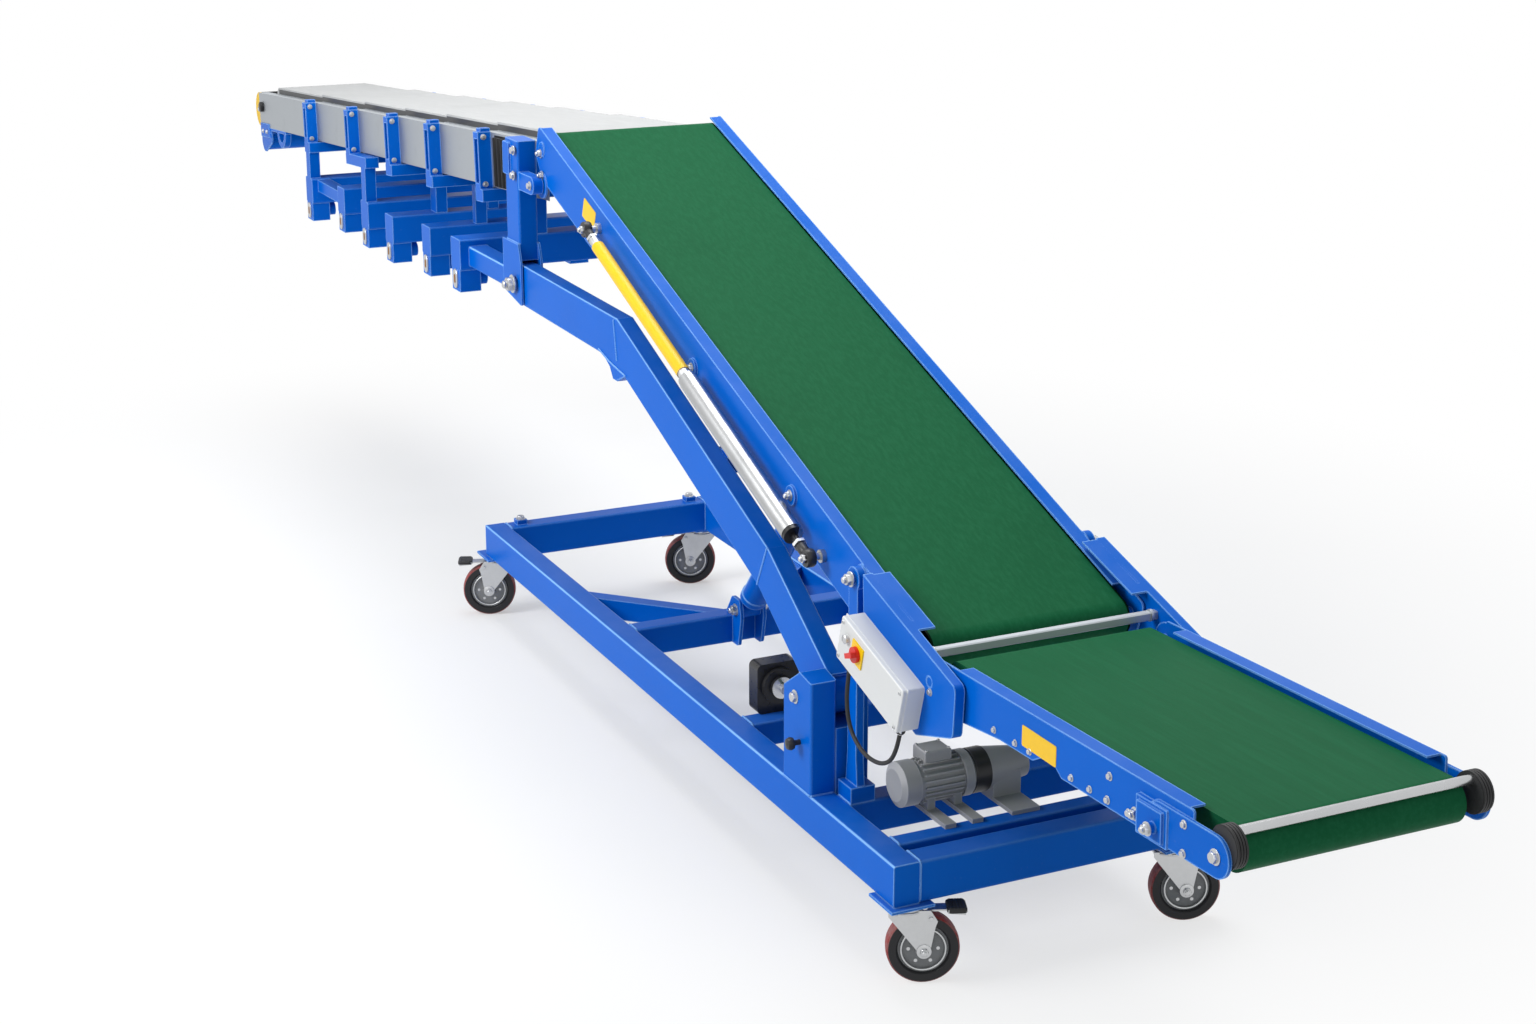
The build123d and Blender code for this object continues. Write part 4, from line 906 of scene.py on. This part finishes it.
# %% Chassis and arms
CASTER_HOLES = [(-50, -32), (50, -32), (-50, 58), (50, 58)]
shapes = fasteners([(bolt, 15, [(-590, 480, 625)])])
shapes += [placed(stud(0.017), mm(-1930, sign * 48, 385), (0, sign, 0)) for sign in (-1, 1)]
for sign in (-1, 1):
    shapes.append(placed(bolt(0.014), mm(-3236, sign * 350, 378), (0, 0, 1)))
    for at in (-45, -3270):
        for dx, dy in CASTER_HOLES:
            spot = mm(at + dx, sign * (420 + dy), 232)
            shapes.append(placed(bolt(0.009), spot, (0, 0, -1)))
piece("chassis_bolts", shapes, "chassis", "zinc")
shapes = [placed(stud(0.016), mm(-1400, sign * 56, 1000), (0, sign, 0)) for sign in (-1, 1)]
piece("lug_nuts", shapes, "arms", "zinc")
KNOB = [(0, 0), (0.008, 0), (0.008, 0.02), (0.017, 0.022), (0.019, 0.03), (0.015, 0.04), (0, 0.043)]
knob = placed(turned(KNOB, 24), mm(-560, -480, 500), (0, -1, 0))
piece("stop_knob", [knob], "chassis", "black")

# %% [markdown]
# ## Welds
# Welds run where tubes meet: at the feet of the posts, round the ends of the crossbars and at the
# bends of the arms. They wear the same blue coat, since the frame is sprayed after it is welded.

# %% Welds
def welds(lines):
    """Beads along lines in millimetres, on both sides of the machine."""
    return [bead([mm(x, s * y, z) for x, y, z in line]) for line in lines for s in (-1, 1)]


TOP = 360
POSTS = [
    [(-668, 480, 361), (-492, 480, 361)],
    [(-492, 480, 361), (-492, 405, 361)],
    [(-668, 480, 361), (-668, 405, 361)],
]
CROSSBARS = [  # rear face, width along the chassis, height
    (-3270, 80, 120), (-1120, 80, 80), (-175, 60, 100), (-80, 80, 120), (-479, 80, 100),
    (-2025, 70, 100),
]
R = 8
joints = []
for x, w, h in CROSSBARS:
    outline = [(x, TOP - h + R), (x, TOP - R), (x + R, TOP)]
    outline += [(x + w - R, TOP), (x + w, TOP - R), (x + w, TOP - h + R)]
    joints.append([(a, 400, b) for a, b in outline])
piece("chassis_welds", welds(POSTS + joints), "chassis", "blue")
BENDS = [
    [(-1022, 395, 808), (-952, 395, 944)],
    [(-2107, 395, 1248), (-2133, 395, 1388)],
    [(-2270, 396, 1257), (-2176, 396, 1234), (-2030, 396, 1214)],
]
piece("arm_welds", welds(BENDS), "arms", "blue")
HEADS = [[(-3156, 400, 1482), (-3023, 400, 1482)], [(-3156, 328, 1482), (-3156, 400, 1482)]]
piece("post_welds", welds(HEADS), "boom_base", "blue")

# %% [markdown]
# ## Casters
# A ribbed rubber pad covers the brake pedal, the axle is nutted, the swivel has a ball race, and
# the hub has a pressed ring with six rivets. All of it is placed in the caster's own directions,
# because each caster trails another way. The fork's hardware rides on the fork and the hub's on
# the wheel, so that both turn as they should.

# %% Casters
CASTERS = {  # x, y and direction of trail in degrees
    "front_near": (-45, -420, 68), "front_far": (-45, 420, 68),
    "rear_near": (-3270, -420, 248), "rear_far": (-3270, 420, 248),
}
TRAIL, AXLE_Z = 48, 100
AXLE_CAP = [(0.020, 0), (0.020, 0.003), (0.016, 0.005), (0, 0.005)]
RIVET = [(0.006, 0), (0.005, 0.003), (0, 0.003)]


def caster_trim(name, x, y, turn):
    """Small pieces of one caster: a is along its trail, b across it, both turned about (x, y)."""
    c, s = math.cos(math.radians(turn)), math.sin(math.radians(turn))

    def at(a, b, z):
        return mm(x + a * c - b * s, y + a * s + b * c, z)

    steel = [placed(torus(0.045, 0.005), at(0, 0, 222)), placed(torus(0.047, 0.003), at(0, 0, 214))]
    hub = []
    for sign in (-1, 1):
        out = (-s * sign, c * sign, 0)
        axle = at(TRAIL, sign * 36, AXLE_Z)
        steel.append(placed(stud(0.012), axle, out))
        steel.append(placed(bolt(0.007), at(66, sign * 36, 196), out))
        steel.append(placed(turned(AXLE_CAP), axle, out))
        hub.append(placed(torus(0.060, 0.0028), at(TRAIL, sign * 22.5, AXLE_Z), out))
        for i in range(6):
            dx, dz = 40 * math.cos(i * math.pi / 3), 40 * math.sin(i * math.pi / 3)
            spot = at(TRAIL + dx, sign * 15.5, AXLE_Z + dz)
            hub.append(placed(turned(RIVET, 12), spot, out))
    pad = [placed(slab(0.054, 0.068, 0.013, 0.012, edge=0.004), at(137, 0, 206.5), up=(-s, c, 0))]
    rib = slab(0.003, 0.056, 0.0025, 0.0012)
    pad += [placed(rib, at(121 + 8 * i, 0, 218.6), up=(-s, c, 0)) for i in range(5)]
    piece(f"caster_steel_{name}", steel, f"caster_{name}", "zinc")
    piece(f"brake_pad_{name}", pad, f"caster_{name}", "rubber")
    piece(f"hub_rings_{name}", hub, f"wheel_{name}", "zinc")


for name, row in CASTERS.items():
    caster_trim(name, *row)

# %% [markdown]
# ## Drive
# The motor has a fan grille of rings at its near end, bolts round its flange and on its feet, and
# a ribbed black coupling. The ribs alternate between two radii in one turned profile, which is
# simpler than an array of rings.

# %% Drive
DRIVE_X, DRIVE_Z = -300, 442
rings = [placed(torus(0.012 + 0.009 * i, 0.0016, 40, 8), mm(DRIVE_X, -316.5, DRIVE_Z), (0, -1, 0))
         for i in range(5)]
piece("fan_grille", rings, "chassis", "black")
shapes = []
for i in range(6):
    a = (i + 0.5) * math.pi / 3
    spot = mm(DRIVE_X + 54 * math.cos(a), -59, DRIVE_Z + 54 * math.sin(a))
    shapes.append(placed(bolt(0.006), spot, (0, 1, 0)))
for dx in (-38, 38):
    for y in (-228, -141):
        shapes.append(placed(bolt(0.007), mm(DRIVE_X + dx, y, 373)))
for dx, y in ((-40, -230), (18, -230), (-40, -160), (18, -160)):
    shapes.append(placed(screw(0.0045), mm(DRIVE_X + dx, y, DRIVE_Z + 90)))
piece("motor_bolts", shapes, "chassis", "zinc")
ribs = [(0.0645 - 0.0015 * (i % 2), 0.003 + 0.0044 * i) for i in range(11)]
rows = [(0.0, 0.0), (0.0630, 0.0)] + ribs + [(0.0630, 0.051), (0.0, 0.051)]
coupling = placed(turned(rows, 48), mm(DRIVE_X, -94, DRIVE_Z), (0, 1, 0))
piece("coupling_ring", [coupling], "chassis", "black")

# %% [markdown]
# ## Control box
# The box sits askew on the side of the ramp. Four screws and a lock hold its cover, and two
# hexagonal glands under it hold the cable. Their places are given on the cover itself, so they
# stay on it if the box is turned.

# %% Control box
BOX = math.radians(16)
BOX_X = (math.cos(BOX), 0, -math.sin(BOX))
BOX_Y = (math.sin(BOX), 0, math.cos(BOX))
LOCK = [(0.013, 0), (0.013, 0.003), (0.0105, 0.005), (0.0105, 0.004), (0, 0.004)]
GLAND = [(0.0, 0), (0.015, 0), (0.015, 0.01), (0.0135, 0.012), (0.0135, 0.018)]
GLAND += [(0.0095, 0.024), (0.0, 0.024)]


def on_box(a, b, out):
    """Point a and b mm from the middle of the box's front, and out mm from its back plane."""
    x = -211 + a * BOX_X[0] + b * BOX_Y[0]
    z = 821 + a * BOX_X[2] + b * BOX_Y[2]
    return mm(x, -385 - out, z)


shapes = [placed(screw(0.0055), on_box(a, b, 65), (0, -1, 0))
          for a in (-166, 166) for b in (-54, 54)]
shapes.append(placed(turned(LOCK, 28), on_box(-132, 22, 73), (0, -1, 0)))
piece("box_screws", shapes, "incline", "zinc")
down = tuple(-v for v in BOX_Y)
nut = turned(GLAND, 24, [0, 1, 1, 0, 0, 0, 0])
glands = [placed(nut, on_box(a, -69, 32.5), down) for a in (-150, 150)]
piece("cable_glands", glands, "incline", "rubber")

# %% [markdown]
# ## Labels
# Yellow film is stuck on the ramp's sides and on the infeed. It is a very thin rounded plate,
# because a decal painted into the blue coat would have no edge that catches the light.

# %% Labels
RAMP = math.atan2(959, 2728)
RAMP_UP = (math.sin(RAMP), 0, math.cos(RAMP))
film = slab(0.112, 0.070, 0.0012, 0.005)
films = [placed(film, mm(-2452, sign * 350, 1680), (0, sign, 0), up=RAMP_UP) for sign in (-1, 1)]
piece("incline_labels", films, "incline", "label")
film = placed(slab(0.155, 0.054, 0.0012, 0.005), mm(480, -350, 860), (0, -1, 0), up=(0, 0, 1))
piece("infeed_label", [film], "infeed", "label")

# %% [markdown]
# ## Strut ends
# Black ball joints sit on zinc studs at both ends of the strut, with jam nuts on the threads. They
# are built along the strut's axis at each pin, once towards the other end and once back.

# %% Strut ends
EYE = [(0.0105, -0.0135), (0.0245, -0.0135), (0.027, -0.009), (0.027, 0.009)]
EYE += [(0.0245, 0.0135), (0.0105, 0.0135)]
SHANK = [(0.014, 0.016), (0.0165, 0.022), (0.0165, 0.052), (0.0145, 0.056)]
JAM_NUT = [(0.0, 0.058), (0.021, 0.058), (0.021, 0.069), (0.0, 0.069)]
black, steel = [], []
for (x, z), way in ((STRUT_LOW, 1), (STRUT_TOP, -1)):
    pin, axis = mm(x, STRUT_Y, z), tuple(STRUT_WAY * way)
    black.append(placed(turned(EYE, 40), pin, (0, 1, 0)))
    black.append(placed(turned(SHANK, 24), pin, axis))
    steel.append(placed(turned(JAM_NUT, 24, [0, 1, 1, 0]), pin, axis))
    steel.append(placed(stud(0.014), mm(x, STRUT_Y - 10, z), (0, -1, 0)))
piece("ball_joints", black, "incline", "black")
piece("strut_nuts", steel, "incline", "zinc")

# %% [markdown]
# ## Floor
# The machine stands on a pale studio floor, which keeps its shadow. A real backdrop is lit until
# it is white, but that much light would also bleach the machine. So the floor turns into a plain
# white glow away from the machine, for the camera, mirrors and glass only.

# %% Floor
def make_floor(r=30.0):
    """Plane with a faint mottle; its glow is 0.42 and rises to 1 from 1.6 to 4.6 m out."""
    mesh = bpy.data.meshes.new("floor")
    mesh.from_pydata([(-r, -r, 0), (r, -r, 0), (r, r, 0), (-r, r, 0)], [], [(0, 1, 2, 3)])
    floor = bpy.data.objects.new("floor", mesh)
    bpy.context.collection.objects.link(floor)
    p = Paint("floor")
    tone = p.blend(p.noise(0.8, 4.0), (0.78, 0.785, 0.79), (0.83, 0.83, 0.83))
    grain = p.bump(p.noise(300.0), 0.0002, 0.3)
    lit = p.shade(tone, 0.6 + p.noise(5.0) * 0.1, grain, spec=0.1)
    glow = p.node("ShaderNodeEmission", {"Color": (1, 1, 1)})
    far = p.node("ShaderNodeVectorMath", {0: p.place}, "Value", operation="LENGTH")
    share = p.seen() * (0.42 + 0.58 * far.step(1.6, 4.6))
    dress(floor, p.output(p.node("ShaderNodeMixShader", {0: share, 1: lit, 2: glow})))
    return floor


print("floor", round(make_floor().dimensions.x, 1), "m wide")

# %% [markdown]
# ## World and lamps
# Three large soft lamps stand for a studio's softboxes, with the key on the camera's side, and a
# dim bluish world fills the shadows. The Light Path node shows a white world to the camera,
# mirrors and glass, and the dim one lights the machine, so the background costs it no colour.

# %% World and lamps
def make_world():
    """Dim blue-white world for the light, and a plain white one for what is seen."""
    world = bpy.data.worlds.new("world")
    bpy.context.scene.world = world
    sky = Tree(world)
    light = sky.node("ShaderNodeBackground", {"Color": (0.90, 0.93, 0.96), "Strength": 0.42})
    white = sky.node("ShaderNodeBackground", {"Color": (1, 1, 1), "Strength": 1.0})
    both = sky.node("ShaderNodeMixShader", {0: sky.seen(), 1: light, 2: white})
    sky.node("ShaderNodeOutputWorld", {"Surface": both})


def soft_lamp(name, place, aim, size, power):
    """Square area lamp at place that looks at aim."""
    data = bpy.data.lights.new(name, "AREA")
    data.size = size
    data.energy = power
    lamp = bpy.data.objects.new(name, data)
    lamp.location = place
    lamp.rotation_euler = (Vector(aim) - Vector(place)).to_track_quat("-Z", "Y").to_euler()
    bpy.context.collection.objects.link(lamp)


make_world()
LAMPS = {  # place, aim, size in metres, power in watts
    "key": ((0.5, -7.5, 6.0), (-0.5, 0, 1.0), 4.0, 620),
    "top": ((-1.0, 1.0, 8.0), (-0.8, 0, 1.0), 5.0, 430),
    "front": ((9.0, -1.0, 4.5), (0, 0, 1.0), 4.0, 40),
}
for name, row in LAMPS.items():
    soft_lamp(name, *row)
bpy.context.scene.view_settings.view_transform = "Standard"
print("lamps:", {name: row[3] for name, row in LAMPS.items()}, "W")

# %% [markdown]
# ## Sizes and the end
# The dressed machine must stay as large as its solids, apart from thin trim.
